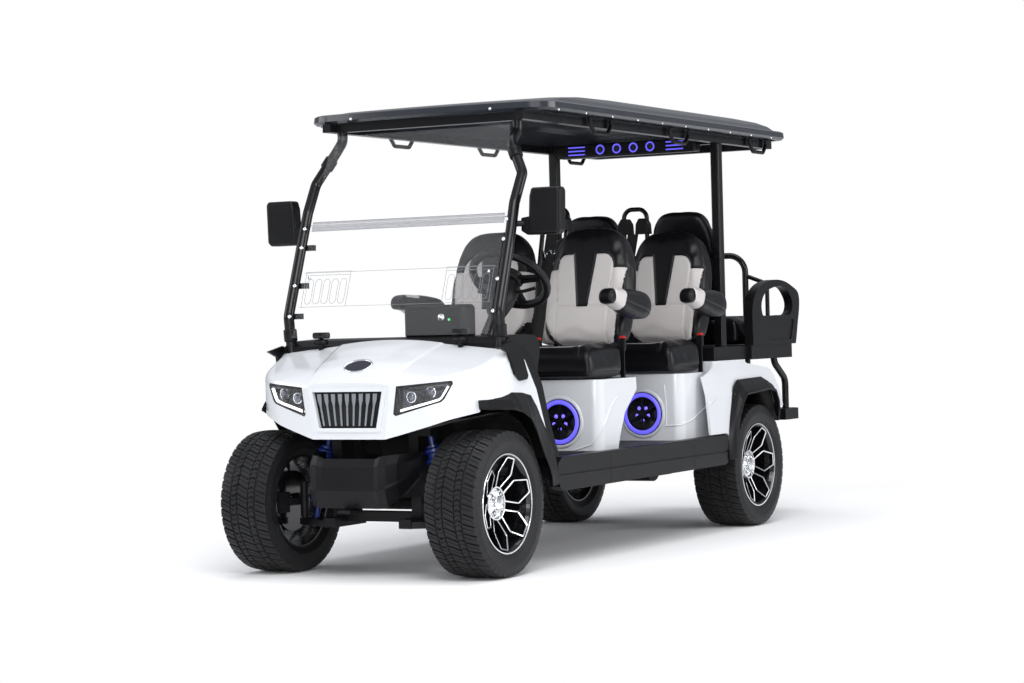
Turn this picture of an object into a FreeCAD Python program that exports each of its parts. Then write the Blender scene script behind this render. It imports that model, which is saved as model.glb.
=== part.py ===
import FreeCAD, Part
import math
import os

V = FreeCAD.Vector

# Millimetres. +Z is up, the cart faces -Y, the driver's side is +X, the ground is z 0.

# Driving dimensions
WHEELBASE = 2460.0
TYRE_R = 292.0
TYRE_W = 235.0
RIM_R = 199.0
TRACK_HALF = 482.5
REAR_OVERHANG = 900.0
BODY_HALF = 560.0
FLARE_HALF = 622.0
FLOOR_Z = 445.0
SEAT_BASE_Z = 750.0
SEAT_TOP_Z = 884.0
ROW_PITCH = 810.0
ROOF_Z = 1871.0
ROOF_HALF = 592.0
PANEL = 12.0
SEAT = 0.3
STEER_REACH = 110.0

# Places along the cart, and heights that follow from them
LENGTH = TYRE_R + WHEELBASE + REAR_OVERHANG
FRONT_AXLE = -LENGTH / 2 + TYRE_R
REAR_AXLE = FRONT_AXLE + WHEELBASE
AXLE_Z = TYRE_R
ROW_ONE = FRONT_AXLE + 940.0
ROW_TWO = ROW_ONE + ROW_PITCH
WHEEL_IN = TRACK_HALF - TYRE_W / 2
KINGPIN_X = WHEEL_IN + 10.0
RAIL_IN = 160.0
RAIL_OUT = RAIL_IN + 45.0
RAIL_Z0 = 322.0
RAIL_Z1 = RAIL_Z0 + 80.0
POD_HALF = BODY_HALF - 40.0
DECK_Z0 = SEAT_BASE_Z + 48.0
DECK_Z1 = DECK_Z0 + 64.0
DECK_HALF = BODY_HALF - 55.0
TIE_Z = AXLE_Z - 12.0
BEAD_R = RIM_R - 17.0
A_PILLAR_R = 22.0
CROSS_Z = 1301.2
PILLAR_X = 440.0
PILLAR_Y = REAR_AXLE - 80.0
BACK_FOOT_Z = SEAT_TOP_Z + 16.0
SEAT_LEAN = 14.0
FRAME_TOP = ROOF_Z - SEAT
FRAME_Z0 = FRAME_TOP - 36.0


def fy(d):
    return FRONT_AXLE + d


def ry(d):
    return REAR_AXLE + d


def box(x0, x1, y0, y1, z0, z1):
    return Part.makeBox(x1 - x0, y1 - y0, z1 - z0, V(x0, y0, z0))


def rounded_box(x0, x1, y0, y1, z0, z1, radius):
    block = box(x0, x1, y0, y1, z0, z1)
    return block.makeFillet(radius, block.Edges)


def rod(a, b, radius):
    start = V(*a)
    run = V(*b) - start
    return Part.makeCylinder(radius, run.Length, start, run)


def swept(loop, run):
    face = Part.Face(Part.makePolygon(loop + loop[:1]))
    solid = face.extrude(run)
    if solid.Volume < 0:
        solid.reverse()
    return solid


def prism_x(points, x0, x1):
    return swept([V(x0, y, z) for y, z in points], V(x1 - x0, 0, 0))


def prism_y(points, y0, y1):
    return swept([V(x, y0, z) for x, z in points], V(0, y1 - y0, 0))


def prism_z(points, z0, z1):
    return swept([V(x, y, z0) for x, y in points], V(0, 0, z1 - z0))


def soft_prism(points, x0, x1, radius):
    block = prism_x(points, x0, x1)
    along = [edge for edge in block.Edges if abs(edge.BoundBox.XLength - abs(x1 - x0)) < 0.01]
    return block.makeFillet(radius, along)


def closed_curve(points, z):
    curve = Part.BSplineCurve()
    curve.interpolate([V(a, b, 0) for a, b in points], PeriodicFlag=True)
    wire = Part.Wire(curve.toShape())
    wire.translate(V(0, 0, z))
    return wire


def pillow(points, thick, radius):
    centre_a = sum(a for a, b in points) / len(points)
    centre_b = sum(b for a, b in points) / len(points)
    rise = [radius * (1 - math.cos(math.radians(angle))) for angle in (0, 30, 60, 90)]
    inset = [radius * (1 - math.sin(math.radians(angle))) for angle in (0, 30, 60, 90)]
    levels = list(zip(rise, inset)) + [(thick - up, back) for up, back in reversed(list(zip(rise, inset)))]
    wires = []
    for z, back in levels:
        ring = []
        for a, b in points:
            keep = 1 - back / math.hypot(a - centre_a, b - centre_b)
            ring.append((centre_a + (a - centre_a) * keep, centre_b + (b - centre_b) * keep))
        wires.append(closed_curve(ring, z))
    return Part.makeLoft(wires, True, True)


def mirrored(shape):
    return shape.mirror(V(0, 0, 0), V(1, 0, 0))


def both(shape):
    return [shape, mirrored(shape)]


def fused(shapes):
    whole = shapes[0]
    for shape in shapes[1:]:
        whole = whole.fuse(shape)
    return whole.removeSplitter()


def bend_path(points, bend):
    spots = [V(*p) for p in points]
    edges = []
    here = spots[0]
    for before, corner, after in zip(spots, spots[1:], spots[2:]):
        inward = (before - corner).normalize()
        outward = (after - corner).normalize()
        half = inward.getAngle(outward) / 2
        reach = min(bend / math.tan(half), 0.45 * (before - corner).Length, 0.45 * (after - corner).Length)
        radius = reach * math.tan(half)
        middle = (inward + outward).normalize()
        first = corner + inward * reach
        last = corner + outward * reach
        crest = corner + middle * (radius / math.sin(half) - radius)
        edges.append(Part.makeLine(here, first))
        edges.append(Part.Arc(first, crest, last).toShape())
        here = last
    edges.append(Part.makeLine(here, spots[-1]))
    return Part.Wire(edges)


def tube(points, radius, bend=60.0):
    path = bend_path(points, bend)
    run = V(*points[1]) - V(*points[0])
    ring = Part.Wire(Part.makeCircle(radius, V(*points[0]), run))
    return path.makePipeShell([ring], True, True)


def flat_strap(points, width_dir, width, thick):
    side = V(*width_dir) * (width / 2)
    pieces = []
    for a, b in zip(points, points[1:]):
        start = V(*a)
        run = V(*b) - start
        normal = run.cross(side).normalize() * (thick / 2)
        loop = [start - side - normal, start + side - normal, start + side + normal, start - side + normal]
        face = Part.Face(Part.makePolygon(loop + loop[:1]))
        pieces.append(face.extrude(run))
    return pieces


def save(name, shapes):
    if not isinstance(shapes, list):
        shapes = [shapes]
    whole = Part.makeCompound(shapes) if len(shapes) > 1 else shapes[0]
    whole.exportStep("parts/" + name + ".step")


# Chassis

def chassis_frame():
    rail = box(RAIL_IN, RAIL_OUT, fy(-190), ry(430), RAIL_Z0, RAIL_Z1)
    crosses = []
    for y in (fy(-190), fy(330), ROW_ONE + 120, ROW_TWO + 120, ry(-210), ry(370)):
        crosses.append(box(-RAIL_IN, RAIL_IN, y, y + 50, RAIL_Z0 + 15, RAIL_Z1))
    arms = []
    for y in (fy(520), ROW_ONE + 120, ROW_TWO + 120):
        arms.append(box(RAIL_OUT, BODY_HALF - 20, y, y + 50, RAIL_Z0 + 30, RAIL_Z1))
    for y in (ry(-290) - SEAT - 24, ry(290) + SEAT):
        arms.append(box(RAIL_OUT, 300, y, y + 24, 350, RAIL_Z1))
    post = box(RAIL_IN, RAIL_OUT, fy(100), fy(145), RAIL_Z1, 700)
    shelf = box(RAIL_IN, 525, fy(100), fy(145), 660, 700)
    tower = box(RAIL_OUT, 262, fy(-40), fy(40), 560, 600)
    tower_leg = box(RAIL_IN, RAIL_OUT, fy(-40), fy(40), RAIL_Z1, 600)
    horn = box(100, 150, fy(-215) + SEAT, fy(-190), RAIL_Z0 + 15, RAIL_Z1)
    rear_tower = box(RAIL_IN, RAIL_OUT, ry(-25), ry(25), RAIL_Z1, 660)
    rear_shelf = box(RAIL_OUT, 345, ry(-25), ry(25), 620 + SEAT, 660)
    tail_post = box(RAIL_IN, RAIL_OUT, ry(385), ry(430), RAIL_Z1, DECK_Z0 - 4 - SEAT)
    half = [rail, post, shelf, tower, tower_leg, horn, rear_tower, rear_shelf, tail_post] + arms
    eye = box(-30, 30, fy(-282), fy(-190), 266, 278)
    eye_drop = box(-30, 30, fy(-200), fy(-190), 266, RAIL_Z0 + 40)
    pin_hole = Part.makeCylinder(12.5, 40, V(0, fy(-258), 250))
    whole = fused(half + [mirrored(part) for part in half] + crosses + [eye, eye_drop])
    return whole.cut(pin_hole)


def battery_pack():
    return rounded_box(-280, 280, ROW_TWO + 30, ROW_TWO + 335, FLOOR_Z + SEAT, 690, 8)


def rear_axle():
    centre = Part.makeCylinder(27, 2 * 330, V(-330, ry(0), AXLE_Z), V(1, 0, 0))
    case = rod((-145, ry(0), AXLE_Z), (25, ry(0), AXLE_Z), 85)
    ends = [rod((330, ry(0), AXLE_Z), (385, ry(0), AXLE_Z), 60), rod((-385, ry(0), AXLE_Z), (-330, ry(0), AXLE_Z), 60)]
    stubs = [rod((385, ry(0), AXLE_Z), (500, ry(0), AXLE_Z), 14), rod((-500, ry(0), AXLE_Z), (-385, ry(0), AXLE_Z), 14)]
    pads = both(box(250, 300, ry(-35), ry(35), AXLE_Z + 20, 365 - SEAT))
    return fused([centre, case] + ends + stubs + pads)


def drive_motor():
    return rod((-60, ry(85) + SEAT, AXLE_Z + 6), (-60, ry(330), AXLE_Z + 6), 80)


def rear_suspension():
    parts = []
    for side in (1, -1):
        leaf = box(side * 275 - 25, side * 275 + 25, ry(-290), ry(290), 365, 383)
        damper = rod((side * 318, ry(0), 372), (side * 318, ry(0), 500), 24)
        piston = rod((side * 318, ry(0), 500), (side * 318, ry(0), 620), 12)
        parts.append(fused([leaf, damper, piston]))
    return parts


# Front suspension and steering

def front_arms():
    beam = box(-RAIL_OUT, RAIL_OUT, fy(-30), fy(30), 215, 255)
    risers = both(box(RAIL_IN, RAIL_OUT, fy(-30), fy(30), 250, RAIL_Z0 - SEAT))
    outline = [(RAIL_OUT, fy(-110)), (RAIL_OUT, fy(-70)), (300, fy(-26)), (300, fy(26)), (RAIL_OUT, fy(70)), (RAIL_OUT, fy(110)),
               (350, fy(26)), (KINGPIN_X + 16, fy(14)), (KINGPIN_X + 16, fy(-14)), (350, fy(-26))]
    arm = prism_z(outline, 195, 222)
    joint = Part.makeCylinder(13, 24, V(KINGPIN_X, fy(0), 204 - SEAT))
    mount = box(150, RAIL_OUT + 2, fy(-115), fy(115), 195, 232)
    return fused([beam] + risers + both(arm) + both(mount) + both(joint))


def spring_coil(low, high, inner, outer, turns):
    run = V(*high) - V(*low)
    pitch = run.Length / turns
    root = inner + 2
    profile = [(inner, 0), (root, 0)]
    for k in range(turns):
        profile += [(root, (k + 0.2) * pitch), (outer, (k + 0.38) * pitch), (outer, (k + 0.62) * pitch), (root, (k + 0.8) * pitch)]
    profile += [(root, turns * pitch), (inner, turns * pitch)]
    loop = [V(x, 0, z) for x, z in profile]
    face = Part.Face(Part.makePolygon(loop + loop[:1]))
    coil = face.revolve(V(0, 0, 0), V(0, 0, 1), 360)
    coil.Placement = FreeCAD.Placement(V(*low), FreeCAD.Rotation(V(0, 0, 1), run))
    return coil


def shock_spot(z):
    return (322 - (z - 205) * 0.2324, fy(0), z)


def front_shocks():
    parts = []
    seat = box(200, 400, fy(-60), fy(60), 150, 222 + SEAT)
    roof_seat = box(150, 262, fy(-60), fy(60), 560 - SEAT, 620)
    damper = fused([rod(shock_spot(205), shock_spot(575), 12), rod(shock_spot(272), shock_spot(384), 28)])
    damper = damper.cut(seat).cut(roof_seat)
    coil = spring_coil(shock_spot(282), shock_spot(520), 28 + SEAT, 41, 6)
    for part in (damper, coil):
        parts.append(part)
        parts.append(mirrored(part))
    return parts


def steering_rack_housing():
    outer = rod((-130, fy(STEER_REACH), TIE_Z), (130, fy(STEER_REACH), TIE_Z), 26)
    bore = rod((-140, fy(STEER_REACH), TIE_Z), (140, fy(STEER_REACH), TIE_Z), 10 + SEAT)
    ears = both(box(110, 158, fy(STEER_REACH) - 18, fy(STEER_REACH) + 18, TIE_Z + 18, RAIL_Z0 - SEAT))
    pinion = rod((60, fy(STEER_REACH) + 34, TIE_Z - 20), (60, fy(STEER_REACH) + 34, TIE_Z + 60), 20)
    lid = both(box(RAIL_IN - 50, RAIL_IN + 20, fy(STEER_REACH) - 18, fy(STEER_REACH) + 18, RAIL_Z0 - 12, RAIL_Z0 - SEAT))
    return fused([outer, pinion] + ears + lid).cut(bore)


def steering_rack():
    return rod((-214, fy(STEER_REACH), TIE_Z), (214, fy(STEER_REACH), TIE_Z), 10)


def tie_rod(side):
    ball = rod((side * KINGPIN_X, fy(STEER_REACH), TIE_Z - 14), (side * KINGPIN_X, fy(STEER_REACH), 303.5), 15)
    link = rod((side * 222, fy(STEER_REACH), TIE_Z), (side * KINGPIN_X, fy(STEER_REACH), TIE_Z), 8)
    return fused([ball, link])


def knuckle(side):
    post = rod((side * KINGPIN_X, fy(0), 228), (side * KINGPIN_X, fy(0), 372), 17)
    spindle = rod((side * KINGPIN_X, fy(0), AXLE_Z), (side * 500, fy(0), AXLE_Z), 14)
    arm = box(side * KINGPIN_X - 9, side * KINGPIN_X + 9, fy(0), fy(STEER_REACH + 12), 304, 316)
    caliper = box(side * 431 - 31, side * 431 + 31, fy(-140), fy(-70), AXLE_Z - 42, AXLE_Z + 42)
    slot = rod((side * 424.5, fy(0), AXLE_Z), (side * 442.5, fy(0), AXLE_Z), 126)
    hub_room = rod((side * 424.5, fy(0), AXLE_Z), (side * 480, fy(0), AXLE_Z), 60)
    bracket = box(side * 397 - 27, side * 397 + 13, fy(-80), fy(0), AXLE_Z - 14, AXLE_Z + 14)
    return fused([post, spindle, arm, caliper.cut(slot).cut(hub_room), bracket])


# Wheels

def tyre(x, y):
    half = TYRE_W / 2
    bead = RIM_R - 17
    corners = [(-half + 24, bead), (-half + 24, RIM_R + 1), (-half + 6, RIM_R + 18), (-half, RIM_R + 46),
               (-half + 5, TYRE_R - 24), (-half + 26, TYRE_R - 4), (-half + 60, TYRE_R)]
    loop = corners + [(-a, r) for a, r in reversed(corners)]
    spots = [V(x + a, y, AXLE_Z + r) for a, r in loop]
    face = Part.Face(Part.makePolygon(spots + spots[:1]))
    return face.revolve(V(x, y, AXLE_Z), V(1, 0, 0), 360)


def dish(radius):
    return TRACK_HALF + TYRE_W / 2 - 13 - 38 + 34 * radius / 190


def spoke_loop(x0, x1, outer):
    if outer:
        spots = [(30, -18), (104, -51), (175, -30), (175, 30), (104, 51), (30, 18)]
    else:
        spots = [(44, -9), (106, -37), (160, -20), (160, 20), (106, 37), (44, 9)]
    return Part.Face(Part.makePolygon([V(x0, b, a) for a, b in spots + spots[:1]])).extrude(V(x1 - x0, 0, 0))


def rim_face():
    face = [V(dish(22), 0, 22), V(dish(180), 0, 180), V(dish(180) - 20, 0, 180), V(dish(22) - 26, 0, 22)]
    shell = Part.Face(Part.makePolygon(face + face[:1])).revolve(V(0, 0, 0), V(1, 0, 0), 360)
    loops = []
    for k in range(5):
        loop = spoke_loop(300, 640, True).cut(spoke_loop(300, 640, False))
        loop.rotate(V(0, 0, 0), V(1, 0, 0), 72 * k)
        loops.append(loop)
    return shell.common(fused(loops))


def rim(side, y):
    half = TYRE_W / 2
    bead = RIM_R - 17 - 0.5
    profile = [(-half + 23, RIM_R), (-half + 23, bead), (half - 23, bead), (half - 23, RIM_R), (half - 13, RIM_R),
               (half - 12, bead - 6), (half - 30, bead - 16), (-half + 30, bead - 16), (-half + 14, RIM_R - 6), (-half + 14, RIM_R)]
    spots = [V(TRACK_HALF + a, 0, r) for a, r in profile]
    barrel = Part.Face(Part.makePolygon(spots + spots[:1])).revolve(V(0, 0, 0), V(1, 0, 0), 360)
    face_x = dish(0)
    hub = rod((436, 0, 0), (face_x + 6, 0, 0), 40)
    drum = rod((436, 0, 0), (face_x - 40, 0, 0), 58)
    cap = rod((face_x + 6, 0, 0), (face_x + 24, 0, 0), 29)
    parts = [barrel, rim_face(), hub, drum, cap]
    if y == FRONT_AXLE:
        parts.append(rod((430, 0, 0), (437, 0, 0), 120))
    for k in range(5):
        angle = math.radians(36 + 72 * k)
        spot = (33 * math.sin(angle), 33 * math.cos(angle))
        parts.append(rod((face_x, spot[0], spot[1]), (face_x + 14, spot[0], spot[1]), 6))
    bore = rod((420, 0, 0), (face_x - 46, 0, 0), 14.5)
    wheel = fused(parts).cut(bore)
    if side < 0:
        wheel = mirrored(wheel)
    wheel.translate(V(0, y, AXLE_Z))
    return wheel


# Front body

def side_x(z):
    return BODY_HALF - 15 + (912 - z) * 0.118


def cowl_section(station, inset):
    y, low, top, radius, z_low, z_side, z_mid, ridge_x, lift = station
    low = low - inset
    top = top - inset
    z_side = z_side - inset
    z_mid = z_mid - inset
    if inset:
        z_low = z_low - inset - 4
    bend = radius * (1 - math.sqrt(0.5))
    ridge_z = z_side + (z_mid - z_side) * 0.62
    half = [V(low, y, z_low), V(top, y, z_side - radius), V(top - bend, y, z_side - bend), V(top - radius, y, z_side),
            V(ridge_x + 16, y, ridge_z), V(ridge_x, y, ridge_z + lift), V(0, y, z_mid + lift)]
    flip = [V(-p.x, p.y, p.z) for p in half]
    edges = [Part.makeLine(flip[0], half[0]), Part.makeLine(half[0], half[1]), Part.Arc(half[1], half[2], half[3]).toShape(),
             Part.makeLine(half[3], half[4]), Part.makeLine(half[4], half[5]), Part.Arc(half[5], half[6], flip[5]).toShape(),
             Part.makeLine(flip[5], flip[4]), Part.makeLine(flip[4], flip[3]), Part.Arc(flip[3], flip[2], flip[1]).toShape(),
             Part.makeLine(flip[1], flip[0])]
    return Part.Wire(edges)


def cowl_stations():
    k = BODY_HALF / 560
    return [(fy(-232), 170 * k, 196 * k, 14, 557, 772, 782, 140 * k, 0),
            (fy(-212), 240 * k, 268 * k, 20, 576, 780, 798, 178 * k, 1),
            (fy(-180), 352 * k, 374 * k, 26, 608, 792, 820, 190 * k, 3),
            (fy(-150), 412 * k, 430 * k, 30, 628, 802, 840, 194 * k, 5),
            (fy(-100), 476 * k, 484 * k, 34, 646, 818, 868, 202 * k, 6),
            (fy(-40), 530 * k, 524 * k, 38, 660, 838, 892, 213 * k, 6),
            (fy(20), 562 * k, 540 * k, 42, 666, 862, 916, 224 * k, 6),
            (fy(104), side_x(640), side_x(860), 46, 640, 900, 940, 238 * k, 6)]


def smooth(stations, steps):
    rows = [stations[0]]
    for k in range(len(stations) - 1):
        a = stations[max(k - 1, 0)]
        b = stations[k]
        c = stations[k + 1]
        d = stations[min(k + 2, len(stations) - 1)]
        for step in range(1, steps + 1):
            t = step / steps
            row = []
            for p0, p1, p2, p3 in zip(a, b, c, d):
                slope_a = (p2 - p0) / 2
                slope_b = (p3 - p1) / 2
                row.append((2 * t ** 3 - 3 * t ** 2 + 1) * p1 + (t ** 3 - 2 * t ** 2 + t) * slope_a
                           + (3 * t ** 2 - 2 * t ** 3) * p2 + (t ** 3 - t ** 2) * slope_b)
            rows.append(tuple(row))
    return rows


def cowl_loft(inset):
    stations = cowl_stations()
    if inset:
        first = list(stations[0])
        first[0] = first[0] + inset * 1.25
        stations[0] = tuple(first)
        second = list(stations[1])
        second[0] = second[0] + inset
        stations[1] = tuple(second)
    wires = [cowl_section(station, inset) for station in smooth(stations, 3)]
    return Part.makeLoft(wires, True, True)


def front_arch():
    points = [(-400, 480), (-236, 545), (-212, 572), (-180, 606), (-150, 625), (-100, 646), (-66, 656), (-64, 690), (0, 706), (180, 706), (240, 690),
              (281, 650), (330, 560), (336, 430), (330, 250), (-400, 250)]
    return prism_x([(fy(d), z) for d, z in points], 240, FLARE_HALF + 40)


def lamp_window(shrink):
    outline = [(222 + shrink, 765 - shrink), (432 - 1.4 * shrink, 783 - shrink), (436 - shrink, 772 - shrink),
               (405 - shrink, 712), (392 - shrink, 700 + shrink * 0.8), (215 + shrink, 648 + shrink), (206 + shrink, 656 + shrink)]
    return prism_y([(x * BODY_HALF / 560, z) for x, z in outline], fy(-270), fy(-40))


def headlamps():
    lens = cowl_loft(2).common(lamp_window(3 + SEAT)).cut(cowl_loft(6))
    return both(lens)


def lamp_housings():
    bowl = cowl_loft(1).common(lamp_window(SEAT)).cut(cowl_loft(52))
    room = cowl_loft(0).common(lamp_window(3)).cut(cowl_loft(48))
    return both(bowl.cut(room))


def front_cowl():
    shell = cowl_loft(0).cut(cowl_loft(PANEL))
    for window in both(lamp_window(0)):
        shell = shell.cut(window)
    grille_hole = prism_y([(-164, 746), (164, 746), (134, 602), (-134, 602)], fy(-260), fy(-190))
    surround = prism_y([(-186, 764), (186, 764), (152, 586), (-152, 586)], fy(-238), fy(-222))
    shell = shell.cut(grille_hole).fuse(surround.cut(grille_hole))
    tail = [(fy(100), 640), (fy(100), 872), (fy(140), 904), (fy(175), 912), (fy(231), 849), (fy(294), 732), (fy(336), 547), (fy(322), 520), (fy(240), 600)]
    slope = [(side_x(930), 930), (side_x(420), 420), (side_x(420) - PANEL, 420), (side_x(930) - PANEL, 930)]
    panel = prism_x(tail, 400, FLARE_HALF + 40).common(prism_y(slope, fy(0), fy(500)))
    shell = shell.fuse(both(panel))
    arch = front_arch()
    for room in [arch, mirrored(arch)] + both(a_pillar(A_PILLAR_R + SEAT)):
        shell = shell.cut(room)
    return shell


def grille_back():
    return prism_y([(-164 + SEAT, 746 - SEAT), (164 - SEAT, 746 - SEAT), (134 - SEAT, 602 + SEAT), (-134 + SEAT, 602 + SEAT)], fy(-222), fy(-212))


def grille():
    bars = []
    for k in range(9):
        x = (k - 4) * 33
        foot = x * 0.84
        outline = [(x - 10, 738), (x + 10, 738), (x * 0.98 + 9, 712), (x * 0.95 + 4.5, 690), (foot + 4, 611), (foot - 4, 611),
                   (x * 0.95 - 4.5, 690), (x * 0.98 - 9, 712)]
        bars.append(prism_y(outline, fy(-237), fy(-222) - SEAT))
    return bars


def bumper_section(x, loop):
    points = [V(x, fy(d), z) for d, z in loop]
    return Part.makePolygon(points + points[:1])


def front_bumper():
    middle = [(-215, 480), (-232, 480), (-246, 448), (-250, 368), (-262, 354), (-242, 284), (-215, 284)]
    ear = [(-215, 490), (-236, 490), (-254, 456), (-256, 368), (-267, 354), (-240, 284), (-215, 284)]
    side = [(-190, 494), (-224, 494), (-244, 458), (-248, 376), (-256, 362), (-230, 292), (-190, 292)]
    cheek = [(-140, 496), (-186, 496), (-206, 462), (-208, 392), (-212, 380), (-190, 322), (-140, 330)]
    wing = [(-50, 498), (-116, 498), (-130, 468), (-128, 424), (-126, 414), (-114, 380), (-50, 404)]
    tip = [(-46, 500), (-70, 500), (-74, 482), (-72, 462), (-70, 456), (-66, 446), (-46, 446)]
    half = [(122, middle), (146, ear), (176, side), (205, cheek), (228, wing), (238, tip)]
    stations = [(-x, loop) for x, loop in half[::-1]] + half
    block = Part.makeLoft([bumper_section(x, loop) for x, loop in stations], True, True)
    block = block.cut(box(-RAIL_IN + 8, RAIL_IN - 8, fy(-215), fy(-100), RAIL_Z0, RAIL_Z1 + 2))
    return block.cut(box(-RAIL_OUT - 2, RAIL_OUT + 2, fy(-194), fy(0), 200, RAIL_Z1 + 2))


def dash():
    outline = [(fy(108), 905), (fy(110), 925), (fy(150), 948), (fy(330), 955), (fy(400), 950), (fy(428), 925), (fy(430), 880),
               (fy(405), 800), (fy(360), 776), (fy(250), 790)]
    whole = prism_x(outline, -side_x(912) + PANEL + 2, side_x(912) - PANEL - 2)
    trim_room = box(side_x(940) - 30 - SEAT, 700, fy(168), fy(500), 700, 1000)
    for part in both(a_pillar(A_PILLAR_R + SEAT)) + both(trim_room):
        whole = whole.cut(part)
    binnacle = rounded_box(-55, 236, fy(290), fy(400), 945, 1085, 20)
    return whole.fuse(binnacle).cut(column_rod(26 + SEAT, 380 + SEAT))


def cowl_trim():
    outline = [(fy(14), 908), (fy(84), 884), (fy(118), 798), (fy(155), 771), (fy(210), 776), (fy(222), 790), (fy(199), 865), (fy(172), 906), (fy(120), 930)]
    outer = [(side_x(940) + 12, 940), (side_x(760) + 12, 760), (side_x(760) + SEAT, 760), (side_x(940) + SEAT, 940)]
    cover = prism_x(outline, 400, 700).common(prism_y(outer, fy(-100), fy(400)))
    strip_line = [(fy(176), 912), (fy(232), 849), (fy(295), 732), (fy(337), 547), (fy(386), 452), (fy(414), 452), (fy(372), 600), (fy(350), 745),
                  (fy(300), 850), (fy(240), 908)]
    depth = [(side_x(940), 940), (side_x(420), 420), (side_x(420) - 30, 420), (side_x(940) - 30, 940)]
    strip = prism_x(strip_line, 400, 700).common(prism_y(depth, fy(-100), fy(600)))
    return both(cover) + both(strip)


def flare_band(stations, centre):
    wires = []
    for x_out, y_out, z_out, x_lip, y_lip, z_lip in stations:
        away = V(0, y_out - centre, z_out - AXLE_Z).normalize() * 9
        edge = V(x_out, y_out, z_out)
        lip = V(x_lip, y_lip, z_lip)
        crest = edge + (lip - edge) * 0.6 + away
        wires.append(Part.makePolygon([edge, crest, lip, lip - away, edge - away, edge]))
    return Part.makeLoft(wires, True, True)


def biggest(shape):
    return max(shape.Solids, key=lambda solid: solid.Volume)


def front_flares():
    lip = FLARE_HALF
    table = [(500, -64, 707, 516, -86, 676), (512, -42, 718, 541, -44, 672), (532, 0, 724, 574, -6, 671), (548, 50, 727, 604, 46, 668),
             (0, 94, 727, 617, 94, 655), (0, 172, 723, lip, 150, 626), (0, 240, 710, lip, 192, 577), (0, 277, 664, lip, 228, 517),
             (0, 315, 592, lip, 266, 462), (0, 354, 532, lip, 296, 424), (0, 384, 440, lip, 316, 380), (0, 396, 345, lip, 320, 340)]
    stations = []
    for x_out, d, z, x_lip, d_lip, z_lip in table:
        stations.append((x_out or side_x(z - 9) + SEAT, fy(d), z, x_lip, fy(d_lip), z_lip))
    band = flare_band(stations, fy(0)).cut(cowl_loft(-2.5 * SEAT))
    return both(biggest(band))


def rear_flares():
    table = [(-392, 340, -338, 340), (-378, 431, -325, 431), (-340, 515, -278, 545), (-251, 674, -235, 604), (-196, 706, -192, 641), (92, 712, 83, 657),
             (147, 695, 152, 644), (200, 655, 188, 590), (214, 600, 193, 545), (212, 540, 178, 500)]
    return both(flare_band([(side_x(z - 9) + SEAT, ry(d), z, FLARE_HALF, ry(d_lip), z_lip) for d, z, d_lip, z_lip in table], ry(0)))


def arch_liners():
    line = [(-214, 574), (-184, 594), (-120, 628), (0, 650), (92, 652), (100, 660 - SEAT), (146, 660 - SEAT), (150, 640), (232, 604), (300, 540),
            (345, 470), (362, 420), (366, 345)]
    under = [(366 - 6, 345), (356, 418), (339, 467), (295, 535), (229, 598), (146, 634), (92, 645), (0, 643), (-120, 621), (-182, 588), (-214, 568)]
    plan = [(207, fy(-230)), (235, fy(-196)), (330, fy(-168)), (392, fy(-140)), (452, fy(-96)), (498, fy(-40)), (524, fy(10)), (524, fy(380)),
            (207, fy(380))]
    strip = prism_x([(fy(d), z) for d, z in line + under], 200, 530)
    return both(strip.common(prism_z(plan, 300, 720)))


def rockers():
    outline = [(fy(400), 330), (fy(389), 425), (fy(425), 450), (ry(-384), 456), (ry(-396), 330), (ry(-420), 318), (fy(430), 312)]
    body = prism_x(outline, BODY_HALF + SEAT, 606)
    groove = prism_x([(fy(380), 376), (ry(-380), 376), (ry(-380), 384), (fy(380), 384)], 601, 620)
    return both(body.cut(groove))


def toe_board(grow):
    return prism_x([(fy(320) - grow, 775), (fy(332) + grow, 775), (fy(488) + grow, FLOOR_Z - 2), (fy(476) - grow, FLOOR_Z - 2)], -528, 528)


def floor_pan():
    floor = box(-BODY_HALF, BODY_HALF, fy(480), ROW_TWO + 200, FLOOR_Z - 14, FLOOR_Z)
    hangers = []
    for y in (fy(520), ROW_ONE + 120, ROW_TWO + 120):
        hangers += both(box(RAIL_IN, 536, y, y + 50, RAIL_Z1 + SEAT, FLOOR_Z - 13))
    ribs = []
    for k in range(9):
        y = fy(560) + k * 34
        ribs.append(box(-500, 500, y, y + 14, FLOOR_Z - 1, FLOOR_Z + 3))
    tray = box(-300, 300, ROW_TWO + 190, ROW_TWO + 345, FLOOR_Z - 14, FLOOR_Z)
    return fused([floor, toe_board(0), tray] + hangers + ribs)


# Seats

def rounded_prism(outline, half, radius):
    block = prism_x(outline, -half, half)
    edges = []
    front = min(y for y, z in outline)
    for edge in block.Edges:
        box_of = edge.BoundBox
        upright = box_of.ZLength > 50 and box_of.YLength < 1
        if upright and abs(box_of.YMin - front) < 1 and abs(abs(box_of.XMin) - half) < 1:
            edges.append(edge)
    return block.makeFillet(radius, edges)


def speaker_hole(row, radius):
    return both(rod((324, row - 40, 569), (324, row + 60, 569), radius))


def seat_pod():
    z0 = FLOOR_Z + SEAT
    outline = [(ROW_ONE, z0), (ROW_ONE, SEAT_BASE_Z), (ROW_ONE + 352, SEAT_BASE_Z), (ROW_ONE + 357, 697),
               (ROW_ONE + 236, 599), (ROW_ONE + 184, 498), (ROW_ONE + 165, z0)]
    inner = [(ROW_ONE + PANEL, z0 - 20), (ROW_ONE + PANEL, SEAT_BASE_Z - PANEL), (ROW_ONE + 340, SEAT_BASE_Z - PANEL),
             (ROW_ONE + 344, 703), (ROW_ONE + 226, 607), (ROW_ONE + 172, 502), (ROW_ONE + 153, z0 - 20)]
    whole = rounded_prism(outline, POD_HALF, 45).cut(rounded_prism(inner, POD_HALF - PANEL, 33))
    for hole in speaker_hole(ROW_ONE, 98):
        whole = whole.cut(hole)
    return whole


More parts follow.
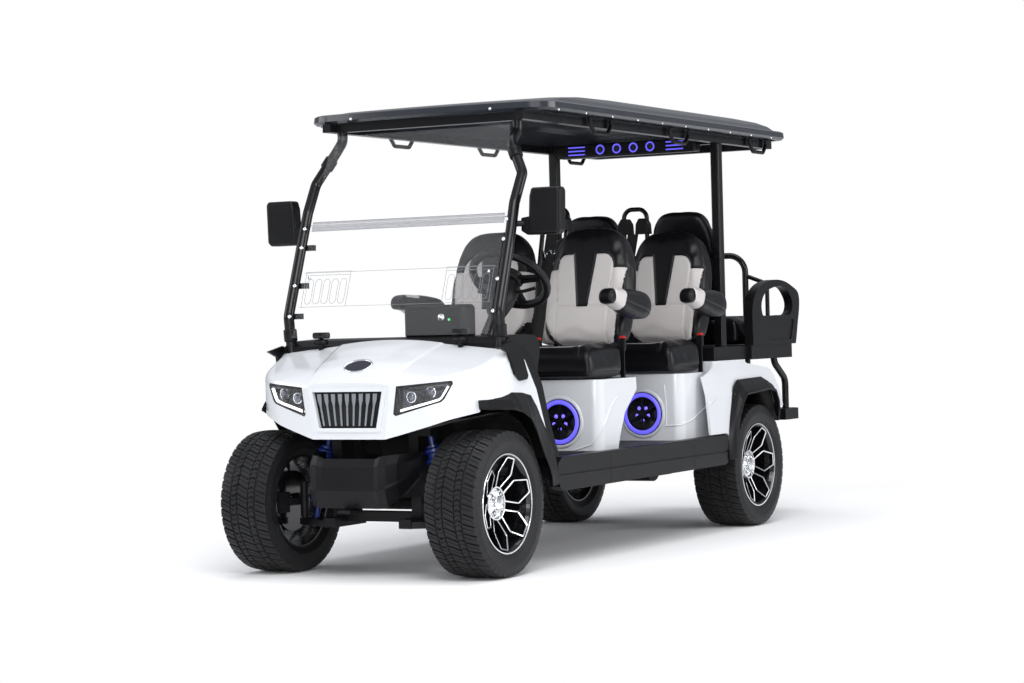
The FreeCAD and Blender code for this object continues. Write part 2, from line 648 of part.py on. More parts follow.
def rear_body():
    z0 = FLOOR_Z + SEAT
    front = [(ROW_TWO, z0), (ROW_TWO, SEAT_BASE_Z), (ROW_TWO + 345, SEAT_BASE_Z), (ROW_TWO + 352, DECK_Z0 - SEAT), (ry(20), DECK_Z0 - SEAT), (ry(20), z0)]
    hollow = [(ROW_TWO + PANEL, z0 - 20), (ROW_TWO + PANEL, SEAT_BASE_Z - PANEL), (ROW_TWO + 358, SEAT_BASE_Z - PANEL),
              (ROW_TWO + 365, DECK_Z0 - PANEL), (ry(40), DECK_Z0 - PANEL), (ry(40), z0 - 20)]
    core = rounded_prism(front, POD_HALF, 45).cut(rounded_prism(hollow, POD_HALF - PANEL, 33))
    skirt = [(ry(-560), 462), (ry(-540), SEAT_BASE_Z - 20), (ry(-380), 772), (ry(-342), DECK_Z0 - 2), (ry(44), 777), (ry(240), 752), (ry(280), 716),
             (ry(300), 662), (ry(316), 590), (ry(318), 430), (ry(-380), 430), (ry(-380), 462)]
    slope = [(POD_HALF - 4, DECK_Z0 - 2), (POD_HALF + 30, 740), (side_x(640) , 640), (side_x(430), 430), (side_x(430) - PANEL, 430),
             (side_x(640) - PANEL, 640), (POD_HALF + 18, 736), (POD_HALF - 16, DECK_Z0 - 2)]
    fender = prism_x(skirt, 380, 700).common(prism_y(slope, ry(-600), ry(400)))
    ledge = prism_x([(ry(0), DECK_Z0 - 14), (ry(0), DECK_Z0 - 2), (ry(44), 777), (ry(240), 752), (ry(280), 716), (ry(300), 662), (ry(290), 655), (ry(270), 706),
                     (ry(234), 738), (ry(44), 763)], -POD_HALF, POD_HALF)
    whole = fused([core, ledge] + both(fender))
    arch = prism_x([(ry(-384), 300), (ry(-370), 431), (ry(-330), 515), (ry(-245), 664), (ry(-190), 696), (ry(92), 702), (ry(140), 686), (ry(190), 650),
                    (ry(205), 590), (ry(330), 560), (ry(330), 300)], 345, 700)
    whole = whole.cut(arch).cut(mirrored(arch))
    whole = whole.cut(box(-300, 300, ry(-340), ry(500), 300, 700))
    tail = prism_x([(ry(300), 690), (ry(312), 462), (ry(300), 462), (ry(288), 690)], -430, 430).cut(arch).cut(mirrored(arch))
    whole = whole.fuse(tail)
    for hole in speaker_hole(ROW_TWO, 98):
        whole = whole.cut(hole)
    return whole


def speakers():
    parts = []
    for row in (ROW_ONE, ROW_TWO):
        ring = rod((324, row - 6, 569), (324, row + 20, 569), 98 - SEAT).cut(rod((324, row - 10, 569), (324, row + 6, 569), 74))
        cone = Part.makeCone(70, 26, 14, V(324, row + 6, 569), V(0, 1, 0))
        hub = rod((324, row - 8, 569), (324, row + 12, 569), 16)
        spokes = []
        for k in range(6):
            spoke = box(-5, 5, row - 6, row + 2, 10, 76)
            spoke.rotate(V(0, row, 0), V(0, 1, 0), 60 * k)
            spoke.translate(V(324, 0, 569))
            spokes.append(spoke)
        parts += both(fused([ring.cut(cone), hub] + spokes))
    return parts


def bench(row):
    return rounded_box(-500, 500, row - 40, row + 300, SEAT_BASE_Z + SEAT, SEAT_TOP_Z, 38)


def behind_back(row, x, climb):
    lean = math.radians(SEAT_LEAN)
    off = 110 + 14 + SEAT
    return (x, row + 344 + off * math.cos(lean) + climb * math.sin(lean), BACK_FOOT_Z - off * math.sin(lean) + climb * math.cos(lean))


def hoop_leg(row, x):
    if row == ROW_ONE:
        foot = [(x, row + 325, SEAT_BASE_Z + SEAT), (x, row + 325, 825), behind_back(row, x, -20)]
    else:
        knee = behind_back(row, x, 20)
        foot = [(x, knee[1], DECK_Z1 + SEAT), knee]
    return foot + [behind_back(row, x, 380)]


def seat_frames():
    frames = []
    for row in (ROW_ONE, ROW_TWO):
        for low_x, high_x in ((110, 400), (-110, -400)):
            hoop = tube(hoop_leg(row, low_x) + hoop_leg(row, high_x)[::-1], 14, 28)
            side = 1 if high_x > 0 else -1
            arm = [rod((high_x, row + 516, 1085), (side * 479, row + 516, 1085), 10), rod((side * 479, row + 522, 1087), (side * 479, row + 400, 1062), 8),
                   rod((side * 479, row + 408, 1064), (side * (492 - SEAT), row + 408, 1064), 8)]
            frames.append(fused([hoop] + arm))
    return frames


def backrest(row, side):
    outline = [(135, 3), (270, 0), (400, 3), (444, 24), (460, 74), (466, 190), (464, 310), (448, 412), (414, 492), (362, 538), (300, 553),
               (210, 554), (140, 540), (88, 496), (58, 420), (40, 310), (36, 190), (44, 74), (70, 24)]
    pad = pillow([(side * x, z) for x, z in outline], 110, 30)
    pad.rotate(V(0, 0, 0), V(1, 0, 0), 90)
    pad.translate(V(0, row + 454, BACK_FOOT_Z))
    pad.rotate(V(0, row + 344, BACK_FOOT_Z), V(1, 0, 0), -SEAT_LEAN)
    return pad


def backrests():
    return [backrest(row, side) for row in (ROW_ONE, ROW_TWO) for side in (1, -1)]


def armrest(row, side):
    outline = [(1085, row + 54), (1112, row + 50), (1136, row + 72), (1141, row + 130), (1138, row + 250), (1130, row + 350), (1112, row + 425),
               (1078, row + 456), (1034, row + 450), (1008, row + 410), (1006, row + 330), (1022, row + 250), (1050, row + 160), (1072, row + 90)]
    pad = pillow(outline, 70, 14)
    pad.rotate(V(0, 0, 0), V(0, 1, 0), -90)
    pad.translate(V(562 if side > 0 else -492, 0, 0))
    return pad


def armrests():
    return [armrest(row, side) for row in (ROW_ONE, ROW_TWO) for side in (1, -1)]


def deck():
    front = box(-DECK_HALF + 20, DECK_HALF - 20, ry(-262), ry(136), DECK_Z0, DECK_Z1)
    tray = prism_z([(-DECK_HALF, ry(136)), (-DECK_HALF, ry(640)), (-DECK_HALF + 40, ry(686)), (DECK_HALF - 40, ry(686)), (DECK_HALF, ry(640)), (DECK_HALF, ry(136))],
                   DECK_Z0 - 4, DECK_Z1)
    under = box(-DECK_HALF + 15, DECK_HALF - 15, ry(460), ry(672), DECK_Z0 - 5, DECK_Z0 + 44)
    return fused([front, tray]).cut(under)


def rear_cushion():
    return rounded_box(-420, 420, ry(170), ry(560), DECK_Z1 + SEAT, 1000, 30)


REAR_LEAN = 16.0


def rear_backrest():
    outline = [(86, 60), (110, 4), (245, 0), (380, 4), (402, 60), (404, 260), (398, 460), (350, 532), (245, 542), (140, 532), (92, 460), (84, 260)]
    pads = []
    for side in (1, -1):
        pad = pillow([(side * x, z) for x, z in outline], 90, 26)
        pad.rotate(V(0, 0, 0), V(1, 0, 0), 90)
        pad.translate(V(0, ry(110), 1010))
        pad.rotate(V(0, ry(110), 1010), V(1, 0, 0), REAR_LEAN)
        pads.append(pad)
    return pads


def belt_tower(row, radius):
    if row == ROW_ONE:
        leg = [(row + 325, SEAT_BASE_Z + SEAT), (row + 325, 825), behind_back(row, 0, -20)[1:], behind_back(row, 0, 670)[1:]]
    else:
        leg = [(PILLAR_Y, CROSS_Z), (PILLAR_Y, 1540)]
    return tube([(-62, y, z) for y, z in leg] + [(62, y, z) for y, z in leg[::-1]], radius, 45)


def rear_seat_stand():
    cross = rod((-PILLAR_X + 22 + SEAT, PILLAR_Y, CROSS_Z), (PILLAR_X - 22 - SEAT, PILLAR_Y, CROSS_Z), 12)
    plate = box(215, 245, ry(30), ry(62), DECK_Z1 + SEAT, 1012)
    room = rear_backrest()[0]
    room.translate(V(0, 0, -SEAT))
    plate = biggest(plate.cut(room))
    return [fused([cross, belt_tower(ROW_TWO, 11)]), belt_tower(ROW_ONE, 11)] + both(plate)


def cover_y(row):
    return PILLAR_Y if row == ROW_TWO else behind_back(row, 0, 600)[1]


def belt_covers():
    covers = []
    for row in (ROW_ONE, ROW_TWO):
        outline = [(14, 1418), (82, 1418), (78, 1468), (62, 1494), (34, 1494), (18, 1468)]
        cover = prism_y(outline, cover_y(row) - 40, cover_y(row) + 18)
        cover = cover.makeFillet(6, [edge for edge in cover.Edges if edge.BoundBox.ZMax > 1420])
        covers += [part.cut(belt_tower(row, 11 + SEAT)) for part in both(cover)]
    return covers


def belts():
    straps = []
    for row in (ROW_ONE, ROW_TWO):
        for x, step in ((9, 0), (-9, -8)):
            top = (x, cover_y(row) - 34 - step, 1418 - SEAT)
            low = (x, row + 395 - step, SEAT_TOP_Z + 30)
            straps += flat_strap([low, top], (1, 0, 0), 44, 1.4)
    return straps


def buckles():
    parts = []
    for row in (ROW_ONE, ROW_TWO):
        for x in (-60, 60, -480, 480):
            stalk = box(x - 10, x + 10, row + 302, row + 310, SEAT_BASE_Z + SEAT, 880)
            head = rounded_box(x - 15, x + 15, row + 301, row + 319, 872, 926, 5)
            parts.append(stalk.fuse(head))
    return parts


def tail_lamps():
    lean = 12 / 228
    y = ry(300) + SEAT
    loop = [(y + (690 - 670) * lean, 670), (y + (690 - 560) * lean, 560), (y + (690 - 560) * lean + 16, 560), (y + (690 - 670) * lean + 10, 670)]
    return both(prism_x(loop, 250, 335))


def side_panels():
    outline = [(ry(135), 830), (ry(133), 1000), (ry(152), 1085), (ry(220), 1142), (ry(330), 1174), (ry(450), 1183), (ry(560), 1172), (ry(660), 1144),
               (ry(718), 1112), (ry(724), 1040), (ry(700), 960), (ry(650), 830)]
    window = [(ry(256), 1018), (ry(252), 1070), (ry(292), 1114), (ry(362), 1138), (ry(450), 1150), (ry(540), 1145), (ry(608), 1106), (ry(638), 1056),
              (ry(618), 1020), (ry(540), 1007), (ry(400), 1004), (ry(300), 1005)]
    recess = [(ry(300), 885), (ry(372), 985), (ry(655), 985), (ry(612), 885)]
    panel = side_slab(outline, DECK_HALF - 35, 45).cut(side_slab(window, DECK_HALF - 50, 80))
    panel = panel.cut(box(0, 700, ry(0), ry(900), 700, DECK_Z1 + SEAT))
    return both(panel.cut(soft_prism(recess, DECK_HALF + 5, DECK_HALF + 30, 12)))


def side_slab(points, x0, wide):
    slab = Part.Face(closed_curve([(z, y) for y, z in points], 0)).extrude(V(0, 0, wide))
    slab.rotate(V(0, 0, 0), V(0, 1, 0), -90)
    slab.translate(V(x0 + wide, 0, 0))
    return slab


def rear_grab_bar():
    y = ry(820)
    hoop = tube([(-180, y, 530 + SEAT), (-180, y, 1320), (180, y, 1320), (180, y, 530 + SEAT)], 16, 90)
    wing = tube([(180, y, 860), (300, y, 890), (300, y, 1170), (180, y, 1215)], 11, 50)
    return fused([hoop] + both(wing))


def footstep():
    plan = [(-440, ry(693)), (-440, ry(860)), (-400, ry(900)), (400, ry(900)), (440, ry(860)), (440, ry(693))]
    slab = prism_z(plan, 474, 530)
    under = box(-425, 425, ry(705), ry(888), 470, 518)
    return slab.cut(under)


def step_tubes():
    return both(tube([(400, ry(690) - 40, DECK_Z0 + 44 - SEAT), (400, ry(690) - 40, 770), (400, ry(790), 680), (400, ry(790), 530 + SEAT)], 17, 60))


# Windscreen, pillars and roof

def a_pillar_path():
    return [(503, fy(123), 700 + SEAT), (503, fy(123), 919), (505, fy(110), 1052), (504, fy(224), 1363), (501, fy(268), 1488), (503, fy(338), 1611),
            (428, fy(386), 1744), (428, fy(440), 1795), (428, fy(440), FRAME_Z0 - SEAT)]


def a_pillar(radius):
    return tube(a_pillar_path(), radius, 50)


def a_pillars():
    return both(a_pillar(A_PILLAR_R))


def screen_lower_y(z):
    return fy(110) + (z - 1052) * 0.367


def screen_upper_y(z):
    return fy(250) + (z - 1436) * 0.312


def windscreen_lower():
    z0, z1 = 962, 1430
    a, b = screen_lower_y(z0), screen_lower_y(z1)
    return prism_x([(a, z0), (a + 6, z0), (b + 6, z1), (b, z1)], -470, 470)


def windscreen_upper():
    z0, z1 = 1436, 1814
    a, b = screen_upper_y(z0), screen_upper_y(z1)
    loop = [V(-468, a, z0), V(468, a, z0), V(432, b, z1), V(-432, b, z1)]
    return swept(loop, V(0, 6, 0))


def fold_bar():
    lower = box(-470, 470, screen_lower_y(1430) - 8, screen_lower_y(1430) + 14, 1430 + SEAT, 1436 - SEAT)
    return lower


def screen_clips():
    clips = []
    path = a_pillar_path()
    for z in (1052, 1180, 1340):
        back = screen_lower_y(z) + 6 + 14 * 0.367 + SEAT
        clips.append(box(452, 503, back, back + 22, z - 12, z + 12).cut(a_pillar(A_PILLAR_R + SEAT)))
    return both(clips[0]) + both(clips[1]) + both(clips[2])


def rear_pillars():
    post = box(PILLAR_X - 22, PILLAR_X + 22, PILLAR_Y - 25, PILLAR_Y + 25, DECK_Z1 + SEAT, FRAME_Z0 - SEAT)
    return both(post.makeFillet(8, [edge for edge in post.Edges if edge.BoundBox.ZLength > 500]))


def roof_frame():
    side = box(450, 490, fy(380), ry(480), FRAME_Z0, FRAME_TOP)
    crosses = []
    for y in (fy(420), PILLAR_Y - 25, ry(440)):
        crosses.append(box(-450, 450, y, y + 40, FRAME_Z0, FRAME_TOP))
    return fused(both(side) + crosses)


def roof_plan(inset, z, front=0, rear=0):
    half = ROOF_HALF - inset
    y0 = fy(385) + inset + front
    y1 = ry(493) - inset - rear
    corner = 120 - min(inset, 60)
    bow = 30
    near = y0 + corner
    far = y1 - corner
    edges = [Part.Arc(V(-half + corner, y0, 0), V(0, y0 - bow, 0), V(half - corner, y0, 0)).toShape(),
             Part.Arc(V(half - corner, y0, 0), V(half - corner * 0.29, y0 + corner * 0.29, 0), V(half, near, 0)).toShape(),
             Part.makeLine(V(half, near, 0), V(half, far, 0)),
             Part.Arc(V(half, far, 0), V(half - corner * 0.29, y1 - corner * 0.29, 0), V(half - corner, y1, 0)).toShape(),
             Part.makeLine(V(half - corner, y1, 0), V(-half + corner, y1, 0)),
             Part.Arc(V(-half + corner, y1, 0), V(-half + corner * 0.29, y1 - corner * 0.29, 0), V(-half, far, 0)).toShape(),
             Part.makeLine(V(-half, far, 0), V(-half, near, 0)),
             Part.Arc(V(-half, near, 0), V(-half + corner * 0.29, y0 + corner * 0.29, 0), V(-half + corner, y0, 0)).toShape()]
    wire = Part.Wire(edges)
    wire.translate(V(0, 0, z))
    return wire


def roof():
    levels = [(12, 0, 0, 0), (0, 10, 0, 0), (3, 34, 0, 0), (14, 40, 4, 4), (40, 42, 30, 16), (60, 64, 150, 50), (84, 80, 330, 110), (130, 94, 640, 220),
              (210, 103, 900, 380)]
    shell = Part.makeLoft([roof_plan(inset, ROOF_Z + rise, front, rear) for inset, rise, front, rear in levels], True, True)
    inner = [(40, -10, 0, 0), (44, 32, 10, 10), (120, 60, 300, 100), (200, 84, 760, 300)]
    hollow = Part.makeLoft([roof_plan(inset, ROOF_Z + rise, front, rear) for inset, rise, front, rear in inner], True, True)
    pads = both(box(446, 516, fy(400), ry(470), ROOF_Z, ROOF_Z + 70).common(shell))
    return fused([shell.cut(hollow)] + pads)


def grab_handles():
    handles = []
    top = ROOF_Z - SEAT
    for y in (-490, 300, 1200):
        handles.append(tube([(504, y - 100, top), (504, y - 100, top - 24), (504, y - 62, top - 62), (504, y + 62, top - 62), (504, y + 100, top - 24),
                             (504, y + 100, top)], 9, 18))
    return handles + [mirrored(h) for h in handles]


def sound_bar():
    y = PILLAR_Y - 25 - SEAT
    body = rounded_box(-372, 372, y - 70, y, FRAME_Z0 - 34, FRAME_TOP - 4, 10)
    for k in range(4):
        body = body.cut(rod((-135 + 90 * k, y - 90, FRAME_Z0 + 2), (-135 + 90 * k, y - 60, FRAME_Z0 + 2), 24))
    for side in (1, -1):
        for k in range(3):
            body = body.cut(box(side * 265 - 50, side * 265 + 50, y - 90, y - 64, FRAME_Z0 - 22 + k * 18, FRAME_Z0 - 14 + k * 18))
    return body


def mirrors():
    shapes = []
    for side in (1, -1):
        outline = [(-62, 95), (62, 95), (70, 80), (66, -80), (52, -95), (-70, -95), (-78, -60), (-72, 60)]
        spots = [(side * (642 + x), 1450 + z) for x, z in outline]
        head = prism_y(spots, fy(258), fy(322))
        head = head.makeFillet(14, head.Edges)
        glass_room = prism_y([(side * (642 + x * 0.82), 1450 + z * 0.82) for x, z in outline], fy(316), fy(330))
        low = prism_y([(side * (642 + x), 1450 + z) for x, z in ((-112, -25), (-60, -18), (-50, -93), (-84, -95), (-112, -78))], fy(262), fy(312))
        low = low.makeFillet(8, low.Edges)
        arm = rod((side * 503, fy(248), 1402), (side * 545, fy(275), 1402), 12)
        whole = fused([head.cut(glass_room), low, arm])
        for post in both(a_pillar(A_PILLAR_R + SEAT)):
            whole = whole.cut(post)
        shapes.append(whole)
    return shapes


# Controls

COLUMN_TOP = (270, fy(626), 1186)
COLUMN_AXIS = (0, 0.66, 0.75)


def column_rod(radius, length):
    top = V(*COLUMN_TOP)
    axis = V(*COLUMN_AXIS).normalize()
    return Part.makeCylinder(radius, length, top - axis * (22 + SEAT + length), axis)


def steering_column():
    return column_rod(26, 380)


def steering_wheel():
    centre = V(*COLUMN_TOP)
    axis = V(*COLUMN_AXIS).normalize()
    ring = Part.makeTorus(163, 15, centre, axis)
    hub = Part.makeCylinder(42, 36, centre - axis * 22, axis)
    spokes = []
    across = V(1, 0, 0)
    down = axis.cross(across).normalize()
    for direction in (across, across * -1, down):
        spokes.append(Part.makeCylinder(11, 156, centre, direction))
    return fused([ring, hub] + spokes)


def pedals():
    brake = fused([box(140, 220, fy(490), fy(502), 520, 600), box(172, 188, fy(400), fy(490), 585, 600)])
    throttle = fused([box(262, 312, fy(490), fy(502), 500, 620), box(280, 294, fy(400), fy(490), 590, 605)])
    return [brake.cut(toe_room()), throttle.cut(toe_room())]


def toe_room():
    return prism_x([(fy(300), 775), (fy(332) + SEAT, 775), (fy(488) + SEAT, FLOOR_Z - 2), (fy(300), FLOOR_Z - 2)], -528, 528)


def main():
    os.makedirs("parts", exist_ok=True)
    save("chassis_frame", chassis_frame())
    save("battery_pack", battery_pack())
    save("rear_axle", rear_axle())
    save("drive_motor", drive_motor())
    save("rear_suspension", rear_suspension())
    save("front_arms", front_arms())
    save("front_shocks", front_shocks())
    save("steering_rack_housing", steering_rack_housing())
    save("steering_rack", steering_rack())
    save("tie_rod_left", tie_rod(1))
    save("tie_rod_right", tie_rod(-1))
    save("knuckle_left", knuckle(1))
    save("knuckle_right", knuckle(-1))
    for name, side, y in (("front_left", 1, FRONT_AXLE), ("front_right", -1, FRONT_AXLE),
                          ("rear_left", 1, REAR_AXLE), ("rear_right", -1, REAR_AXLE)):
        save("tyre_" + name, tyre(side * TRACK_HALF, y))
        save("rim_" + name, rim(side, y))
    save("front_cowl", front_cowl())
    save("grille", grille())
    save("front_bumper", front_bumper())
    save("headlamps", headlamps())
    save("front_housings", lamp_housings() + [grille_back()])
    save("arch_liners", arch_liners())
    save("seat_belts", belt_covers() + belts() + buckles())
    save("tail_lamps", tail_lamps())
    save("cowl_trim", cowl_trim())
    save("speakers", speakers())
    save("seat_frames", seat_frames() + rear_seat_stand())
    save("screen_clips", screen_clips() + [fold_bar()])
    save("dash", dash())
    save("flares", front_flares() + rear_flares())
    save("rockers", rockers())
    save("floor_pan", floor_pan())
    save("seat_pod", seat_pod())
    save("rear_body", rear_body())
    save("benches", [bench(ROW_ONE), bench(ROW_TWO)])
    save("backrests", backrests())
    save("armrests", armrests())
    save("deck", deck())
    save("rear_cushion", rear_cushion())
    save("rear_backrest", rear_backrest())
    save("side_panels", side_panels())
    save("rear_grab_bar", rear_grab_bar())
    save("footstep", footstep())
    save("step_tubes", step_tubes())
    save("a_pillars", a_pillars())
    save("windscreen", [windscreen_lower(), windscreen_upper()])
    save("rear_pillars", rear_pillars())
    save("roof_frame", roof_frame())
    save("roof", roof())
    save("grab_handles", grab_handles())
    save("sound_bar", sound_bar())
    save("mirrors", mirrors())
    save("steering_column", steering_column())
    save("steering_wheel", steering_wheel())
    save("pedals", pedals())


main()
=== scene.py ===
import bpy
import bmesh
import math
import numpy as np
from mathutils import Matrix, Vector
from mathutils.bvhtree import BVHTree


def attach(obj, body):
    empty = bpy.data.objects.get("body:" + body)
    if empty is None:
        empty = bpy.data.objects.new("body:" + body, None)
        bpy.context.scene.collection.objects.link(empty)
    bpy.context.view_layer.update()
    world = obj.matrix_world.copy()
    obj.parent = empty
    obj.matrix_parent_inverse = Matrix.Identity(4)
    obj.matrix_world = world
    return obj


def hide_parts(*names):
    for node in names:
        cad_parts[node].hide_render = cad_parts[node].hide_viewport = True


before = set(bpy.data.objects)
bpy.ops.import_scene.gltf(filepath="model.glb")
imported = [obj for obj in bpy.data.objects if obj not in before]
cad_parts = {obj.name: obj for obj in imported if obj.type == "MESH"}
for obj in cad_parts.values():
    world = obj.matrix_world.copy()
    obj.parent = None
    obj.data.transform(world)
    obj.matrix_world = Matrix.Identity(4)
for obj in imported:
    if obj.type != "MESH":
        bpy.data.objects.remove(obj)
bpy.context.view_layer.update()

# Sizes that part.py also uses, in metres
FRONT_AXLE = -1.534
REAR_AXLE = 0.926
ROW_ONE = -0.594
ROW_TWO = 0.216
AXLE_Z = 0.292
TRACK_HALF = 0.4825
TYRE_R = 0.292
COLUMN_TOP = (0.27, -0.908, 1.186)
COLUMN_AXIS = (0, 0.66, 0.75)
SEAT_LEAN = math.radians(14)
REAR_LEAN = math.radians(16)
BACK_FOOT = 0.344
SPEAKER_X = 0.324
SPEAKER_Z = 0.569
BAR_Y = 0.7507

# Sizes of this scene's own pieces
BAND_HALF = 0.466
ARCH_INNER_X = 0.338
ARCH_LIP_X = 0.619
FORWARD = (0, -1, 0)


def fy(d):
    return FRONT_AXLE + d / 1000


def ry(d):
    return REAR_AXLE + d / 1000


# Camera, solved from the photo, and where a pixel of the photo meets a surface

PHOTO = (1024, 683)
FOCAL = 2460.63
SENSOR = 36
EYE = Vector((5.33357, -9.95327, 1.00399))
YAW_PITCH_ROLL = (29.225453, 0.442733, -1.48095)


def camera_axes():
    yaw, pitch, roll = (math.radians(a) for a in YAW_PITCH_ROLL)
    forward = Vector((-math.sin(yaw) * math.cos(pitch), math.cos(yaw) * math.cos(pitch), -math.sin(pitch)))
    side = Vector((math.cos(yaw), math.sin(yaw), 0))
    up = side.cross(forward)
    right = side * math.cos(roll) + up * math.sin(roll)
    top = up * math.cos(roll) - side * math.sin(roll)
    return right, top, forward


def pixel_way(px, py):
    right, top, forward = camera_axes()
    return (forward * FOCAL + right * (px - PHOTO[0] / 2) - top * (py - PHOTO[1] / 2)).normalized()


def hit(tree, start, way):
    return tree.ray_cast(Vector(start), Vector(way))[:2]


def seen_at(tree, px, py):
    return hit(tree, EYE, pixel_way(px, py))


def seen_path(tree, pixels, steps=6):
    found = []
    for (ax, ay), (bx, by) in zip(pixels, pixels[1:]):
        for k in range(steps + 1):
            place = seen_at(tree, ax + (bx - ax) * k / steps, ay + (by - ay) * k / steps)[0]
            if place and (not found or (place - found[-1]).length > 0.004):
                found.append(place)
    return found


# Materials

def new_material(name):
    material = bpy.data.materials.new(name)
    material.use_nodes = True
    return material, material.node_tree.nodes, material.node_tree.links


def put(node, values):
    for key, value in dict(values).items():
        node.inputs[key].default_value = value
    return node


def new_node(nodes, kind, values=()):
    return put(nodes.new("ShaderNode" + kind), values)


def plastic(name, colour, rough=0.5, metal=0.0, coat=0.0, grain=900.0, bump=0.05, vary=0.06, shine_level=0.5):
    material, nodes, links = new_material(name)
    shader = nodes["Principled BSDF"]
    put(shader, {"Specular IOR Level": shine_level, "Metallic": metal})
    put(shader, {"Coat Weight": coat, "Coat Roughness": 0.06})
    place = new_node(nodes, "TexCoord")
    fine = new_node(nodes, "TexNoise", {"Scale": grain, "Detail": 4.0})
    broad = new_node(nodes, "TexNoise", {"Scale": 5.0, "Detail": 6.0})
    for noise in (fine, broad):
        links.new(place.outputs["Object"], noise.inputs["Vector"])
    tint = new_node(nodes, "ValToRGB")
    low, high = tint.color_ramp.elements
    low.position, high.position = 0.3, 0.7
    low.color = [c * (1 - vary) for c in colour] + [1]
    high.color = [min(1.0, c * (1 + vary) + 0.001) for c in colour] + [1]
    links.new(broad.outputs["Fac"], tint.inputs["Fac"])
    links.new(tint.outputs["Color"], shader.inputs["Base Color"])
    shine = new_node(nodes, "MapRange", {"To Min": max(0.02, rough - 0.06), "To Max": rough + 0.06})
    links.new(broad.outputs["Fac"], shine.inputs["Value"])
    links.new(shine.outputs["Result"], shader.inputs["Roughness"])
    bumps = new_node(nodes, "Bump", {"Strength": bump, "Distance": 0.0006})
    links.new(fine.outputs["Fac"], bumps.inputs["Height"])
    links.new(bumps.outputs["Normal"], shader.inputs["Normal"])
    return material


def glow(name, colour, strength):
    material, nodes = new_material(name)[:2]
    put(nodes["Principled BSDF"], {"Base Color": (*colour, 1), "Emission Color": (*colour, 1),
                                   "Emission Strength": strength, "Roughness": 0.3})
    return material


def clear(name, colour, rough, alpha):
    material, nodes = new_material(name)[:2]
    put(nodes["Principled BSDF"], {"Base Color": (*colour, 1), "Roughness": rough,
                                   "IOR": 1.45, "Alpha": alpha})
    return material


white = plastic("white_paint", (0.692, 0.71, 0.737), rough=0.14, coat=0.6, grain=60, bump=0.01, vary=0.01)
black = plastic("black_moulding", (0.0032, 0.0032, 0.004), rough=0.4, grain=1400, bump=0.1, vary=0.15,
                shine_level=0.22)
roof_skin = plastic("roof_skin", (0.02, 0.023, 0.029), rough=0.22, coat=0.25, grain=80, bump=0.02, vary=0.08,
                    shine_level=0.4)
steel = plastic("black_steel", (0.004, 0.004, 0.005), rough=0.28, coat=0.1, grain=700, bump=0.06, vary=0.1,
                shine_level=0.28)
frame_steel = plastic("frame_steel", (0.005, 0.005, 0.006), grain=500, bump=0.15, vary=0.25,
                      shine_level=0.25)
vinyl = plastic("black_vinyl", (0.003, 0.003, 0.0042), rough=0.36, grain=620, bump=0.12, vary=0.12,
                shine_level=0.28)
pale_vinyl = plastic("pale_vinyl", (0.56, 0.53, 0.52), rough=0.42, grain=620, bump=0.12, vary=0.02)
rubber = plastic("tyre_rubber", (0.0075, 0.0075, 0.0085), rough=0.52, grain=500, bump=0.1, vary=0.15,
                 shine_level=0.32)
chrome = plastic("bright_chrome", (0.82, 0.83, 0.85), rough=0.1, metal=1.0, grain=200, bump=0.01, vary=0.02)
bar_chrome = plastic("satin_chrome", (0.66, 0.68, 0.71), rough=0.12, metal=1.0, grain=200, bump=0.01,
                     vary=0.02)
blue_coil = plastic("blue_coil", (0.006, 0.02, 0.16), rough=0.35, coat=0.3, grain=300, bump=0.05)
cast = plastic("cast_alloy", (0.25, 0.25, 0.27), metal=0.8, grain=260, bump=0.3)
case = plastic("battery_case", (0.02, 0.02, 0.022))
acrylic = clear("clear_acrylic", (0.95, 0.97, 0.98), 0.02, 0.025)
fold_grey = clear("fold_seal", (0.3, 0.31, 0.34), 0.2, 0.45)
edge_acrylic = clear("acrylic_edge", (0.3, 0.32, 0.35), 0.2, 0.75)
lens = clear("lamp_lens", (0.95, 0.97, 1.0), 0.03, 0.03)
speaker_black = plastic("speaker_black", (0.006, 0.006, 0.009), rough=0.3, coat=0.2)
webbing = plastic("belt_webbing", (0.008, 0.008, 0.009), rough=0.8, bump=0.5)
red_cap = plastic("red_button", (0.65, 0.02, 0.015), rough=0.35, grain=300, bump=0.05)
gloss_black = plastic("gloss_black", (0.004, 0.004, 0.005), rough=0.16, coat=0.3, grain=200, bump=0.01,
                      shine_level=0.4)
machined = plastic("machined_alloy", (0.8, 0.81, 0.83), rough=0.16, metal=1.0, grain=240, bump=0.02,
                   vary=0.02)
red_lens = plastic("red_lens", (0.3, 0.005, 0.006), rough=0.12, coat=0.5, grain=200, bump=0.02)
mirror_glass = plastic("mirror_glass", (0.75, 0.78, 0.8), rough=0.03, metal=1.0, grain=100, bump=0.0)
lamp_grey = plastic("lamp_reflector", (0.055, 0.055, 0.075), rough=0.22, metal=0.8, grain=300, bump=0.05)
dome_glass = plastic("projector_dome", (0.1, 0.12, 0.16), rough=0.06, metal=0.6, coat=0.8, grain=100,
                     bump=0.0)
led_white = glow("led_white", (1.0, 1.0, 1.0), 1.3)
led_blue = glow("led_blue", (0.13, 0.11, 0.9), 0.85)
led_violet = glow("led_violet", (0.2, 0.15, 1.0), 1.0)
led_green = glow("led_green", (0.05, 0.8, 0.2), 1.0)
mat = plastic("floor_mat", (0.055, 0.055, 0.058), rough=0.75, grain=260, bump=0.5, vary=0.12, shine_level=0.3)

